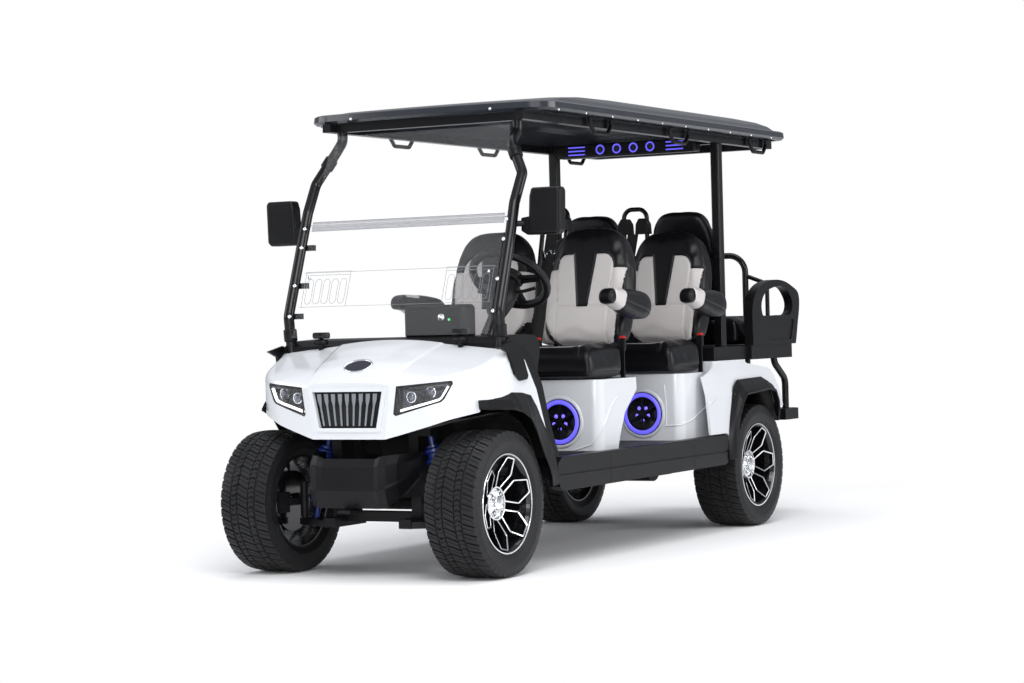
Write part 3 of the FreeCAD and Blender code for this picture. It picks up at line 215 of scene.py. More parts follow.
MADE_OF = (
    (white, ("front_cowl", "seat_pod", "rear_body")), (roof_skin, ("roof",)), (acrylic, ("windscreen",)),
    (steel, ("a_pillars", "rear_pillars", "roof_frame", "rear_grab_bar", "step_tubes", "seat_frames",
             "steering_column", "screen_clips")),
    (frame_steel, ("chassis_frame", "rear_axle", "rear_suspension", "front_arms", "steering_rack_housing",
                   "steering_rack", "tie_rod_left", "tie_rod_right", "knuckle_left", "knuckle_right")),
    (vinyl, ("benches", "backrests", "armrests", "rear_cushion", "rear_backrest")),
    (bar_chrome, ("grille",)), (blue_coil, ("front_shocks",)), (cast, ("drive_motor",)),
    (case, ("battery_pack",)), (lens, ("headlamps",)), (red_lens, ("tail_lamps",)),
    (speaker_black, ("speakers",)),
    (rubber, ("tyre_front_left", "tyre_front_right", "tyre_rear_left", "tyre_rear_right")),
    (gloss_black, ("rim_front_left", "rim_front_right", "rim_rear_left", "rim_rear_right")),
)
by_node = {name: material for material, names in MADE_OF for name in names}
for name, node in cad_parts.items():
    material = by_node.get(name, black)
    node.data.materials.clear()
    node.data.materials.append(material)


def paint(node, material, chosen):
    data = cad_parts[node].data
    data.materials.append(material)
    slot = len(data.materials) - 1
    for face in data.polygons:
        if chosen(face.center, face.normal):
            face.material_index = slot


paint("screen_clips", fold_grey, lambda c, n: 1.38 < c.z < 1.46 and abs(c.x) < 0.48)
paint("seat_belts", webbing, lambda c, n: abs(c.x) < 0.0345)
paint("seat_belts", red_cap, lambda c, n: 0.9 < c.z < 0.96 and abs(c.x) > 0.04 and n.z > 0.3)
paint("floor_pan", mat, lambda c, n: n.z > 0.7)
paint("mirrors", mirror_glass, lambda c, n: n.y > 0.95 and abs(c.x) > 0.57)


# Mesh helpers

def new_object(name, data):
    thing = bpy.data.objects.new(name, data)
    bpy.context.scene.collection.objects.link(thing)
    return thing


def evaluated(thing):
    shown = thing.evaluated_get(bpy.context.evaluated_depsgraph_get())
    return bpy.data.meshes.new_from_object(shown)


def link(name, data, body, *materials):
    thing = new_object(name, data)
    for material in materials:
        data.materials.append(material)
    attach(thing, body)
    return thing


def mesh_from(name, points, faces, smooth=True):
    data = bpy.data.meshes.new(name)
    data.from_pydata([tuple(p) for p in points], [], faces)
    data.polygons.foreach_set("use_smooth", [smooth] * len(data.polygons))
    data.update()
    return data


def surface_tree(node):
    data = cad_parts[node].data
    points = [v.co.copy() for v in data.vertices]
    return BVHTree.FromPolygons(points, [tuple(f.vertices) for f in data.polygons])


def front_y(tree, x, z):
    place = hit(tree, (x, -3.0, z), (0, 1, 0))[0]
    return place.y if place else None


def tube_along(name, points, radius, material, closed=False, sides=8, body="body"):
    curve = bpy.data.curves.new(name, "CURVE")
    curve.dimensions = "3D"
    curve.bevel_depth = radius
    curve.bevel_resolution = max(1, sides // 4)
    line = curve.splines.new("POLY")
    line.points.add(len(points) - 1)
    for spot, p in zip(line.points, points):
        spot.co = (*p, 1)
    line.use_cyclic_u = closed
    curve.use_fill_caps = True
    made = new_object(name, curve)
    data = evaluated(made)
    bpy.data.objects.remove(made)
    data.polygons.foreach_set("use_smooth", [True] * len(data.polygons))
    return link(name, data, body, material)


def lathe(name, profile, centre, axis, material, steps=32, body="body"):
    axis = Vector(axis).normalized()
    side = axis.orthogonal().normalized()
    other = axis.cross(side)
    points, faces = [], []
    for k in range(steps):
        angle = 2 * math.pi * k / steps
        ray = side * math.cos(angle) + other * math.sin(angle)
        for along, radius in profile:
            points.append(Vector(centre) + axis * along + ray * radius)
    n = len(profile)
    for k in range(steps):
        for m in range(n - 1):
            a, b = k * n + m, ((k + 1) % steps) * n + m
            faces.append((a, b, b + 1, a + 1))
    return link(name, mesh_from(name, points, faces), body, material)


# Tyres with block tread: lanes run from the middle out, cuts are parts of a block

BLOCKS = 46
BLOCK_DEPTH = 0.0062
SIPE_DEPTH = 0.003
GROOVES = (0.0268, 0.0583)
GROOVE_HALF = 0.0022
LANE_HALF = 0.0158
BEND = 0.0426
LEAN = 0.3
LANES = [0.012, 0.024, 0.0268, 0.0295, 0.033, 0.043, 0.053,
         0.0565, 0.06, 0.064, 0.08, 0.098, 0.106, 0.109]
SIDE_WALL = [(-0.0935, 0.1825), (-0.0965, 0.195), (-0.1125, 0.2175),
             (-0.1172, 0.245), (-0.1165, 0.258), (-0.1135, 0.267)]
CUTS = (0.0, 0.12, 0.17, 0.46, 0.49, 0.51, 0.54, 0.95)


def block_lean(x):
    sign, far = (1 if x > 0 else -1), abs(x)
    if far < GROOVES[0]:
        return x / GROOVES[0] * LEAN
    if far < BEND:
        return (LEAN - (far - GROOVES[0]) / LANE_HALF * LEAN) * sign
    if far < GROOVES[1]:
        return (far - BEND) / LANE_HALF * LEAN * sign
    return (LEAN + (far - GROOVES[1]) * 9) * sign


def tyre_mesh(side):
    lanes = [-x for x in reversed(LANES)] + [0.0] + LANES
    rings = SIDE_WALL + [(x, None) for x in lanes] + [(-x, r) for x, r in reversed(SIDE_WALL)]
    points, faces = [], []
    for k in range(BLOCKS):
        for cut in CUTS:
            for x, r in rings:
                lean = 0.0
                if r is None:
                    r = TYRE_R - 0.05 * max(0.0, abs(x) - 0.045) ** 2 * 30
                    if cut < 0.13 or min(abs(abs(x) - g) for g in GROOVES) < GROOVE_HALF:
                        r -= BLOCK_DEPTH
                    elif 0.485 < cut < 0.515 and abs(x) < 0.1:
                        r -= SIPE_DEPTH
                    lean = block_lean(x)
                elif abs(x) > 0.113:
                    lean = 0.75 * (1 if x > 0 else -1)
                    r -= 0.0012 if cut < 0.13 and abs(x) < 0.1175 else 0
                angle = 2 * math.pi * (k + cut + lean) / BLOCKS
                points.append((x, r * math.cos(angle), r * math.sin(angle)))
    n = len(rings)
    total = BLOCKS * len(CUTS)
    for k in range(total):
        for m in range(n - 1):
            a, b = k * n + m, ((k + 1) % total) * n + m
            faces.append((a, a + 1, b + 1, b))
    return mesh_from("tyre_tread_" + side, points, faces, smooth=False)


def tyres():
    for side, sign in (("left", 1), ("right", -1)):
        data = tyre_mesh(side)
        data.materials.append(rubber)
        for row, y in (("front", FRONT_AXLE), ("rear", REAR_AXLE)):
            place = row + "_" + side
            tyre = new_object("tread_" + place, data)
            tyre.location = (sign * TRACK_HALF, y, AXLE_Z)
            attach(tyre, "wheel_" + place)
            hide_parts("tyre_" + place)


tyres()


# Wheels with six open spokes

class Shell:
    def __init__(self):
        self.points, self.faces, self.picks = [], [], []

    def turned(self, profile, pick, steps=60, centre=(0.0, 0.0)):
        base, n = len(self.points), len(profile)
        for k in range(steps):
            angle = 2 * math.pi * k / steps
            a, b = math.sin(angle), math.cos(angle)
            self.points += [(along, centre[0] + radius * a, centre[1] + radius * b)
                            for along, radius in profile]
        for k in range(steps):
            for m in range(n - 1):
                a, b = base + k * n + m, base + ((k + 1) % steps) * n + m
                self.faces.append((a, b, b + 1, a + 1))
                self.picks.append(pick)

    def band(self, rows, picks):
        base, n = len(self.points), len(rows[0])
        for row in rows:
            self.points += row
        for m in range(len(rows) - 1):
            for k in range(n):
                a, b = base + m * n + k, base + m * n + (k + 1) % n
                self.faces.append((a, b, b + n, a + n))
                self.picks.append(picks[m])


def offset_path(path, step):
    made, n = [], len(path)
    for k in range(n):
        before, here, after = path[k - 1], path[k], path[(k + 1) % n]
        one = Vector((here[0] - before[0], here[1] - before[1])).normalized()
        two = Vector((after[0] - here[0], after[1] - here[1])).normalized()
        a, b = Vector((-one.y, one.x)), Vector((-two.y, two.x))
        middle = (a + b).normalized()
        size = step / max(0.4, middle.dot(a))
        made.append((here[0] + middle.x * size, here[1] + middle.y * size))
    return made


def corner_cut(path, cut):
    made, n = [], len(path)
    for k in range(n):
        before, here, after = Vector(path[k - 1]), Vector(path[k]), Vector(path[(k + 1) % n])
        made.append(tuple(here + (before - here).normalized() * cut))
        made.append(tuple(here + ((before - here).normalized() + (after - here).normalized()) * cut * 0.28))
        made.append(tuple(here + (after - here).normalized() * cut))
    return made


def face_depth(radius):
    return 0.1035 - 0.05 * max(0.0, (0.181 - radius)) / 0.115


# Profiles of a wheel's parts: place along the axle and radius
BARREL = [(-0.0945, 0.1985), (-0.0945, 0.182), (0.06, 0.174), (0.086, 0.18), (0.099, 0.187), (0.103, 0.1925)]
RIM_LIP = [(0.103, 0.1925), (0.1043, 0.1935), (0.1043, 0.198), (0.103, 0.1988), (0.096, 0.1988)]
BRAKE_DRUM = [(-0.052, 0.02), (-0.052, 0.125), (-0.02, 0.125), (-0.018, 0.118), (-0.018, 0.06), (0.02, 0.055)]
HUB_RING = [(0.03, 0.07), (0.051, 0.069), (0.0535, 0.067), (0.0535, 0.061), (0.05, 0.0595), (0.04, 0.059)]
HUB_FACE = [(0.03, 0.06), (0.043, 0.059), (0.0445, 0.056), (0.0445, 0.03)]
HUB_CAP = [(0.044, 0.03), (0.064, 0.03), (0.0665, 0.0285), (0.0668, 0.0255), (0.0655, 0.0235), (0.066, 0.02),
           (0.0672, 0.0001)]
NUT_SEAT = [(0.0446, 0.015), (0.056, 0.0145), (0.0575, 0.0125), (0.0565, 0.011), (0.0455, 0.0105)]
NUT_WELL = [(0.0455, 0.0106), (0.0456, 0.007)]
NUT = [(0.0455, 0.0074), (0.058, 0.007), (0.0605, 0.0045), (0.0612, 0.0001)]
# Outline of a spoke loop, and its wall: step beside the outline and depth under the face
SPOKE = [(0.064, -0.0165), (0.119, -0.0492), (0.1805, -0.0265),
         (0.1805, 0.0265), (0.119, 0.0492), (0.064, 0.0165)]
SPOKE_WALL = ((-0.0022, 0.02), (-0.003, 0.0012), (-0.0024, 0.0),
              (0.0024, 0.0), (0.003, 0.0012), (0.0022, 0.02))
SPOKES = 6
NUTS = 4
NUT_CIRCLE = 0.044


def wheel_shell(phase):
    shell = Shell()
    shell.turned(BARREL, 0, 72)
    shell.turned(RIM_LIP, 1, 72)
    shell.turned(BRAKE_DRUM, 0, 48)
    loop = corner_cut(SPOKE, 0.0035)
    for k in range(SPOKES):
        turn = math.radians(phase + 360 / SPOKES * k)
        s, c = math.sin(turn), math.cos(turn)
        rows = []
        for step, drop in SPOKE_WALL:
            rows.append([(face_depth(math.hypot(a, b)) - drop, a * s + b * c, a * c - b * s)
                         for a, b in offset_path(loop, step)])
        shell.band(rows, (0, 1, 1, 1, 0))
    shell.turned(HUB_RING, 1, 60)
    shell.turned(HUB_FACE, 2, 48)
    for k in range(NUTS):
        angle = math.radians(phase + 25 + 360 / NUTS * k)
        centre = (NUT_CIRCLE * math.sin(angle), NUT_CIRCLE * math.cos(angle))
        shell.turned(NUT_SEAT, 2, 20, centre)
        shell.turned(NUT_WELL, 0, 20, centre)
        shell.turned(NUT, 2, 6, centre)
    shell.turned(HUB_CAP, 2, 40)
    return shell


def wheels():
    for row, y, phase in (("front", FRONT_AXLE, 11), ("rear", REAR_AXLE, 25.5)):
        shell = wheel_shell(phase)
        for side, sign in (("left", 1), ("right", -1)):
            points = [(sign * p[0], p[1], p[2]) for p in shell.points]
            faces = shell.faces if sign > 0 else [face[::-1] for face in shell.faces]
            place = row + "_" + side
            data = mesh_from("wheel_face_" + place, points, faces, smooth=False)
            wheel = link("wheel_face_" + place, data, "wheel_" + place, gloss_black, machined, chrome)
            data.polygons.foreach_set("material_index", shell.picks)
            wheel.location = (sign * TRACK_HALF, y, AXLE_Z)
            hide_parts("rim_" + place)


wheels()


# Head lamps

def lamp_parts():
    tree = surface_tree("headlamps")
    for side in (1, -1):
        def spot(x, z, back):
            y = front_y(tree, side * x, z)
            if y is None:
                steps = (-0.012, 0, 0.012)
                y = min(front_y(tree, side * (x + dx), z + dz) or 9 for dx in steps for dz in steps)
            return Vector((side * x, y + back, z))
        outline = [(0.23, 0.752), (0.418, 0.768), (0.424, 0.762),
                   (0.396, 0.712), (0.384, 0.702), (0.226, 0.66)]
        strip = [(0.23, 0.667), (0.27, 0.677), (0.31, 0.6875), (0.35, 0.698), (0.382, 0.7075),
                 (0.393, 0.7165), (0.404, 0.737), (0.4165, 0.76)]
        tube_along("lamp_strip_%d" % side, [spot(x, z, 0.012) for x, z in strip], 0.0068, led_white)
        rim = [spot(x, z, 0.006) for x, z in outline]
        tube_along("lamp_rim_%d" % side, rim, 0.0042, gloss_black, True)
        back = [spot(x, z, 0.036) for x, z in outline]
        data = mesh_from("lamp_plate_%d" % side, back, [tuple(range(len(back)))], smooth=False)
        link("lamp_plate_%d" % side, data, "body", lamp_grey)
        for k, (x, z, r) in enumerate(((0.345, 0.7385, 0.0215), (0.268, 0.7215, 0.021))):
            centre = spot(x, z, 0.028)
            ring = [(0.0, r), (0.006, r + 0.003), (0.01, r + 0.001), (0.008, r - 0.003), (0.0, r - 0.004)]
            lathe("lamp_ring_%d_%d" % (side, k), ring, centre, FORWARD, chrome)
            angles = [math.pi / 2 * t / 6 for t in range(6, -1, -1)]
            dome = [(0.004 + 0.012 * math.cos(a), (r - 0.004) * math.sin(a)) for a in angles]
            lathe("lamp_dome_%d_%d" % (side, k), dome, centre, FORWARD, dome_glass)


lamp_parts()


# Windscreen edges and sliding vents

def screen_line(name, tree, points, radius, closed=True):
    path = []
    for x, z in points:
        y = front_y(tree, x, z)
        if y is not None:
            path.append((x, y - 0.0008, z))
    if len(path) > 1:
        tube_along(name, path, radius, edge_acrylic, closed, 4)


def slot_outline(x, low, high, half):
    points = []
    for start, z in ((0, high - half), (math.pi, low + half)):
        for k in range(9):
            a = start + math.pi * k / 8
            points.append((x + half * math.cos(a), z + half * math.sin(a)))
    return points


def vents():
    tree = surface_tree("windscreen")
    for side in (1, -1):
        edge = [(side * 0.232, 1.09), (side * 0.452, 1.09), (side * 0.452, 1.236), (side * 0.232, 1.236)]
        screen_line("vent_edge_%d" % side, tree, edge, 0.0012)
        screen_line("vent_top_%d" % side, tree, [(side * 0.236, 1.222), (side * 0.448, 1.222)], 0.001, False)
        for k in range(5):
            x = side * (0.424 - 0.041 * k)
            screen_line("vent_slot_%d_%d" % (side, k), tree, slot_outline(x, 1.102, 1.205, 0.0155), 0.001)
        screen_line("screen_line_%d" % side, tree, [(0.0, 1.233), (side * 0.462, 1.233)], 0.0011, False)
        screen_line("screen_line_low_%d" % side, tree, [(0.0, 1.09), (side * 0.462, 1.09)], 0.0009, False)
        y = front_y(tree, side * 0.432, 1.212)
        knob = [(0.0, 0.0), (0.0, 0.006), (0.006, 0.007), (0.007, 0.0)]
        lathe("vent_knob_%d" % side, knob, (side * 0.432, y, 1.212), FORWARD, chrome, 12)


def sheet_faces(count):
    faces = []
    for a in range(0, 4 * count, 4):
        b = a + 4
        faces += [(a, b, b + 2, a + 2), (a + 1, a + 3, b + 3, b + 1)]
        faces += [(a, a + 1, b + 1, b), (a + 2, b + 2, b + 3, a + 3)]
    return faces


def fold_band():
    tree = surface_tree("windscreen")
    for name, low, high in (("low", 1.4095, 1.429), ("high", 1.4375, 1.447)):
        points = []
        for k in range(17):
            x = -BAND_HALF + 2 * BAND_HALF * k / 16
            for z in (low, high):
                points.append((x, front_y(tree, x * 0.99, z) - 0.0006, z))
                points.append((x, front_y(tree, x * 0.99, z) - 0.0026, z))
        data = mesh_from("fold_seal_" + name, points, sheet_faces(16), smooth=False)
        link("fold_seal_" + name, data, "body", fold_grey)
    for z in (1.4095, 1.4475):
        screen_line("fold_edge_%d" % round(z * 1000), tree, [(-BAND_HALF, z), (BAND_HALF, z)], 0.0013, False)


vents()
fold_band()


# Oval on the hood

def hood_oval():
    tree = surface_tree("front_cowl")
    ring = []
    for k in range(40):
        a = 2 * math.pi * k / 40
        x, y = 0.062 * math.cos(a), fy(-148) + 0.034 * math.sin(a)
        place = hit(tree, (x, y, 2.0), (0, 0, -1))[0]
        ring.append(place + Vector((0, 0, 0.002)))
    tube_along("hood_oval_ring", ring, 0.0042, chrome, True)
    middle = sum(ring, Vector()) / len(ring)
    points = [middle + Vector((0, 0, 0.003))] + ring
    faces = [(0, k + 1, (k + 1) % 40 + 1) for k in range(40)]
    link("hood_oval_plate", mesh_from("hood_oval_plate", points, faces), "body", lamp_grey)


hood_oval()


# Speaker rings

def speaker_rings():
    for side in (1, -1):
        for name, row in (("one", ROW_ONE), ("two", ROW_TWO)):
            centre = (side * SPEAKER_X, row - 0.0065, SPEAKER_Z)
            band = [(0.0, 0.0775), (0.0042, 0.08), (0.005, 0.086), (0.0042, 0.093), (0.0, 0.0955)]
            halo = [(-0.006, 0.0985), (0.003, 0.099), (0.0055, 0.102), (0.005, 0.109), (0.002, 0.114),
                    (-0.004, 0.115)]
            front = (side * SPEAKER_X, row, SPEAKER_Z)
            lathe("speaker_halo_%s_%d" % (name, side), halo, front, FORWARD, white, 64)
            lathe("speaker_glow_%s_%d" % (name, side), band, centre, FORWARD, led_blue, 56)
            for k in range(5):
                angle = math.radians(36 + 72 * k)
                x, z = centre[0] + 0.03 * math.sin(angle), SPEAKER_Z + 0.03 * math.cos(angle)
                light = [(0.0, 0.0088), (0.0012, 0.008), (0.0016, 0.0001)]
                title = "speaker_light_%s_%d_%d" % (name, side, k)
                lathe(title, light, (x, row - 0.0015, z), FORWARD, led_violet, 12)


speaker_rings()


# Lights in the sound bar

def bar_lights():
    ring = [(0.0, 0.0165), (0.0022, 0.018), (0.0022, 0.0225), (0.0, 0.024)]
    core = [(-0.004, 0.0165), (-0.006, 0.006), (-0.003, 0.0001)]
    for k in range(4):
        centre = (-0.135 + 0.09 * k, BAR_Y - 0.0005, 1.8367)
        lathe("bar_ring_%d" % k, ring, centre, FORWARD, led_blue, 32)
        lathe("bar_core_%d" % k, core, centre, FORWARD, speaker_black, 24)
    for side in (1, -1):
        for k in range(3):
            z = 1.8167 + 0.018 * k
            path = [(side * 0.265 + dx, BAR_Y + 0.001, z) for dx in (-0.045, 0.045)]
            tube_along("bar_dash_%d_%d" % (side, k), path, 0.0033, led_blue)


bar_lights()


# Screws

def screws():
    roof_tree = surface_tree("roof")
    flare_tree = surface_tree("flares")
    head = [(-0.001, 0.0062), (0.002, 0.0058), (0.0032, 0.004), (0.0034, 0.0001)]
    for side in (1, -1):
        for k in range(11):
            place = hit(roof_tree, (side * 2, -1.02 + 0.245 * k, 1.8745), (-side, 0, 0))[0]
            if place:
                lathe("roof_screw_%d_%d" % (side, k), head, place, (side, 0, 0), chrome, 12)
        spots = [(fy(-205), 0.635), (fy(-120), 0.675), (fy(60), 0.69), (fy(205), 0.668), (fy(290), 0.6),
                 (ry(-318), 0.56), (ry(-262), 0.64), (ry(-60), 0.69), (ry(110), 0.688), (ry(262), 0.6)]
        for k, (y, z) in enumerate(spots):
            place, normal = hit(flare_tree, (side * 2, y, z), (-side, 0, 0))
            if place:
                lathe("flare_screw_%d_%d" % (side, k), head, place, normal, steel, 12)
    for x in (-0.34, 0.34):
        place = hit(roof_tree, (x, -3, 1.884), (0, 1, 0))[0]
        if place:
            lathe("roof_front_screw_%d" % round(x * 100), head, place, FORWARD, chrome, 12)


screws()


# Inner faces of the rear arches

REAR_ARCH = ((-380, 345), (-366, 431), (-326, 515), (-242, 660), (-189, 692), (91, 698),
             (138, 682), (187, 647), (202, 590), (212, 556), (226, 518), (238, 494))
REAR_LIP = ((-338, 340), (-325, 431), (-278, 545), (-235, 604), (-192, 641),
            (83, 657), (152, 644), (188, 590), (193, 545), (178, 500))


def rear_liners():
    last = len(REAR_ARCH) - 1
    faces = sheet_faces(last) + [(0, 2, 3, 1), (4 * last, 4 * last + 1, 4 * last + 3, 4 * last + 2)]
    for side in (1, -1):
        points = []
        for k, (d, z) in enumerate(REAR_ARCH):
            before, after = REAR_ARCH[max(0, k - 1)], REAR_ARCH[min(last, k + 1)]
            run = Vector((after[0] - before[0], after[1] - before[1])).normalized()
            for x in (ARCH_INNER_X, 0.547 + (0.912 - z / 1000) * 0.118):
                for depth in (0.0, 0.003):
                    points.append((side * x, ry(d) + run.y * depth, z / 1000 - run.x * depth))
        link("rear_liner_%d" % side, mesh_from("rear_liner_%d" % side, points, faces), "body", black)
        lip = [Vector((side * ARCH_LIP_X, ry(d), z / 1000)) for d, z in REAR_LIP]
        tube_along("flare_lip_%d" % side, lip, 0.0065, black)


rear_liners()


# Sleeves and bolts on the screen pillars

def pillar_parts():
    sleeve = [(0.0, 0.0225), (0.0, 0.0262), (0.004, 0.0282), (0.046, 0.0282), (0.05, 0.0262), (0.05, 0.0225)]
    bolt = [(0.0, 0.0085), (0.006, 0.008), (0.0085, 0.005), (0.009, 0.0001)]
    ends = (("top", (0.428, fy(386), 1.744), (0.503, fy(338), 1.611)),
            ("foot", (0.503, fy(123), 0.919), (0.5043, fy(114), 1.01)))
    bolts = ((fy(114), 1.052), (fy(158), 1.18), (fy(216), 1.34), (fy(245), 1.42))
    for side in (1, -1):
        for name, low, high in ends:
            a, b = Vector((side * low[0], low[1], low[2])), Vector((side * high[0], high[1], high[2]))
            run = (b - a).normalized()
            lathe("pillar_sleeve_%s_%d" % (name, side), sleeve, a + run * 0.03, run, black, 24)
        for k, (y, z) in enumerate(bolts):
            spot = (side * 0.4885, y - 0.0195, z)
            lathe("pillar_bolt_%d_%d" % (side, k), bolt, spot, FORWARD, chrome, 14)


pillar_parts()


# Ridges on the seat bases, seams of the rocker covers

def mirrored_line(name, tree, pixels, radius, material):
    path = seen_path(tree, pixels)
    if len(path) > 1:
        tube_along(name + "_left", path, radius, material)
        tube_along(name + "_right", [Vector((-p.x, p.y, p.z)) for p in path], radius, material)


def base_ridges():
    front, rear, rocker = surface_tree("seat_pod"), surface_tree("rear_body"), surface_tree("rockers")
    pod_line = [(617.5, 396), (611, 406), (606, 420), (601, 434), (591, 445), (575, 450)]
    rear_line = [(716, 398), (703, 410), (691, 420.5), (681, 425), (665, 426)]
    mirrored_line("ridge_front", front, pod_line, 0.0042, white)
    mirrored_line("ridge_rear", rear, rear_line, 0.0042, white)
    mirrored_line("ridge_upright", rear, [(664, 385), (666, 405), (666, 425)], 0.0036, white)
    for k, line in enumerate((((611, 455), (611.5, 482)), ((693.7, 445), (695.7, 467)))):
        mirrored_line("rocker_seam_%d" % k, rocker, line, 0.0013, gloss_black)


base_ridges()


# Screen catches, dash switches and steering wheel

def block(name, centre, size, material, bevel=0.004):
    mesh = bmesh.new()
    bmesh.ops.create_cube(mesh, size=1.0)
    for v in mesh.verts:
        v.co = Vector((v.co.x * size[0], v.co.y * size[1], v.co.z * size[2])) + Vector(centre)
    bmesh.ops.bevel(mesh, geom=mesh.edges[:], offset=bevel, segments=3, affect="EDGES")
    data = bpy.data.meshes.new(name)
    mesh.to_mesh(data)
    mesh.free()
    data.polygons.foreach_set("use_smooth", [True] * len(data.polygons))
    return link(name, data, "body", material)


def screen_catches():
    cowl, shelf = surface_tree("front_cowl"), surface_tree("dash")
    for side in (1, -1):
        x, y = side * 0.335, fy(92)
        tops = [hit(tree, (x, y, 1.6), (0, 0, -1))[0] for tree in (cowl, shelf)]
        foot = max(p.z for p in tops if p) if any(tops) else 0.93
        block("catch_low_%d" % side, (x, y, foot + 0.03), (0.058, 0.03, 0.022), black)
        block("catch_high_%d" % side, (x, y + 0.004, foot + 0.058), (0.07, 0.034, 0.026), black)
        block("catch_post_%d" % side, (x, y + 0.002, foot + 0.02), (0.02, 0.02, 0.056), black)


def dash_parts():
    tree = surface_tree("dash")
    place, normal = seen_at(tree, 441.4, 317.6)
    if place:
        switch = [(-0.002, 0.016), (0.004, 0.016), (0.006, 0.013),
                  (0.005, 0.008), (0.009, 0.006), (0.01, 0.0001)]
        lathe("key_switch", switch, place, normal, chrome, 24)
    place, normal = seen_at(tree, 449.0, 319.5)
    if place:
        light = [(-0.001, 0.005), (0.002, 0.0045), (0.0035, 0.0001)]
        lathe("ready_light", light, place, normal, led_green, 14)


def wheel_and_column():
    top = Vector(COLUMN_TOP)
    axis = Vector(COLUMN_AXIS).normalized()
    across = Vector((1, 0, 0))
    down = axis.cross(across)
    angles = [2 * math.pi * k / 14 for k in range(15)]
    ring = [(0.018 * math.sin(a), 0.163 + 0.018 * math.cos(a)) for a in angles]
    thing = lathe("wheel_ring", ring, top, axis, vinyl, 72, "steering_wheel")
    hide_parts("steering_wheel")
    hub = [(-0.022, 0.03), (-0.018, 0.05), (0.004, 0.06), (0.016, 0.059), (0.022, 0.048), (0.025, 0.026),
           (0.026, 0.0001)]
    thing = lathe("wheel_hub", hub, top, axis, black, 40, "steering_wheel")
    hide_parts("steering_wheel")
    for k, way in enumerate((across, -across, down)):
        for off in (-0.01, 0.01):
            beside = axis.cross(way) * off
            hub_end = top + way * 0.04 + beside * 1.6 - axis * 0.004
            path = [hub_end, top + way * 0.1 + beside, top + way * 0.16 + beside * 0.8]
            name = "wheel_spoke_%d_%d" % (k, round(off * 1000))
            thing = tube_along(name, path, 0.0095, black, False, 12, "steering_wheel")
            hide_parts("steering_wheel")
    shroud = [(-0.03, 0.0001), (-0.03, 0.052), (-0.04, 0.06), (-0.12, 0.056), (-0.19, 0.042), (-0.2, 0.027)]
    lathe("column_shroud", shroud, top, axis, black, 36)
    start = top - axis * 0.075
    stalk = [start + across * out + axis * up for out, up in ((0.05, 0), (0.095, 0.006), (0.14, 0.02))]
    lever = [start - across * out + axis * up for out, up in ((0.05, 0), (0.1, 0.004), (0.13, 0.012))]
    tube_along("column_stalk", stalk, 0.0075, black, False, 12)
    tube_along("column_lever", lever, 0.0075, black, False, 12)


screen_catches()
dash_parts()
wheel_and_column()


# Belt parts, and pads: each pad is swollen as cloth, then its seams are drawn in

def spots_of(data, key="co"):
    flat = np.empty(len(data.vertices) * 3, dtype=np.float32)
    data.vertices.foreach_get(key, flat)
    return flat.reshape(-1, 3).astype(float)


def normals_of(data):
    return spots_of(data, "normal")


def set_spots(data, spots):
    data.vertices.foreach_set("co", spots.astype(np.float32).ravel())
    data.update()


def loose_parts(node):
    mesh = bmesh.new()
    mesh.from_mesh(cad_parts[node].data)
    bmesh.ops.remove_doubles(mesh, verts=mesh.verts, dist=0.00003)
    mesh.verts.index_update()
    mesh.faces.index_update()
    mesh.faces.ensure_lookup_table()
    seen, parts = set(), []
    for start in mesh.verts:
        if start.index in seen:
            continue
        seen.add(start.index)
        group, wave = [], [start]
        while wave:
            spot = wave.pop()
            group.append(spot)
            for edge in spot.link_edges:
                other = edge.other_vert(spot)
                if other.index not in seen:
                    seen.add(other.index)
                    wave.append(other)
        place = {spot.index: k for k, spot in enumerate(group)}
        used = sorted({face.index for spot in group for face in spot.link_faces})
        faces = [[place[v.index] for v in mesh.faces[f].verts] for f in used]
        parts.append(([spot.co.copy() for spot in group], faces))
    mesh.free()
    return parts


def low_corner(part, axis):
    return min(p[axis] for p in part[0])


def belt_parts():
    parts = [p for p in loose_parts("seat_belts") if max(v.z for v in p[0]) < 1.0]
    for k, part in enumerate(parts):
        low = [min(v[i] for v in part[0]) for i in range(3)]
        high = [max(v[i] for v in part[0]) for i in range(3)]
        if high[2] - low[2] > 0.25 or high[0] - low[0] > 0.09:
            continue
        centre = ((low[0] + high[0]) / 2, (low[1] + high[1]) / 2, high[2] + 0.002)
        size = (high[0] - low[0] - 0.004, (high[1] - low[1]) * 0.9, 0.01)
        block("buckle_button_%d" % k, centre, size, red_cap, 0.003)
    place = seen_at(surface_tree("seat_belts"), 545.5, 256)[0]
    if place:
        for side, x in (("left", place.x), ("right", -place.x)):
            centre = Vector((x, place.y - 0.003, place.z))
            block("belt_tongue_" + side, centre, (0.03, 0.004, 0.052), chrome, 0.0015)


def modified(data, kind, **settings):
    thing = new_object("work", data)
    step = thing.modifiers.new("step", kind)
    for key, value in settings.items():
        setattr(step, key, value)
    made = evaluated(thing)
    bpy.data.objects.remove(thing)
    return made


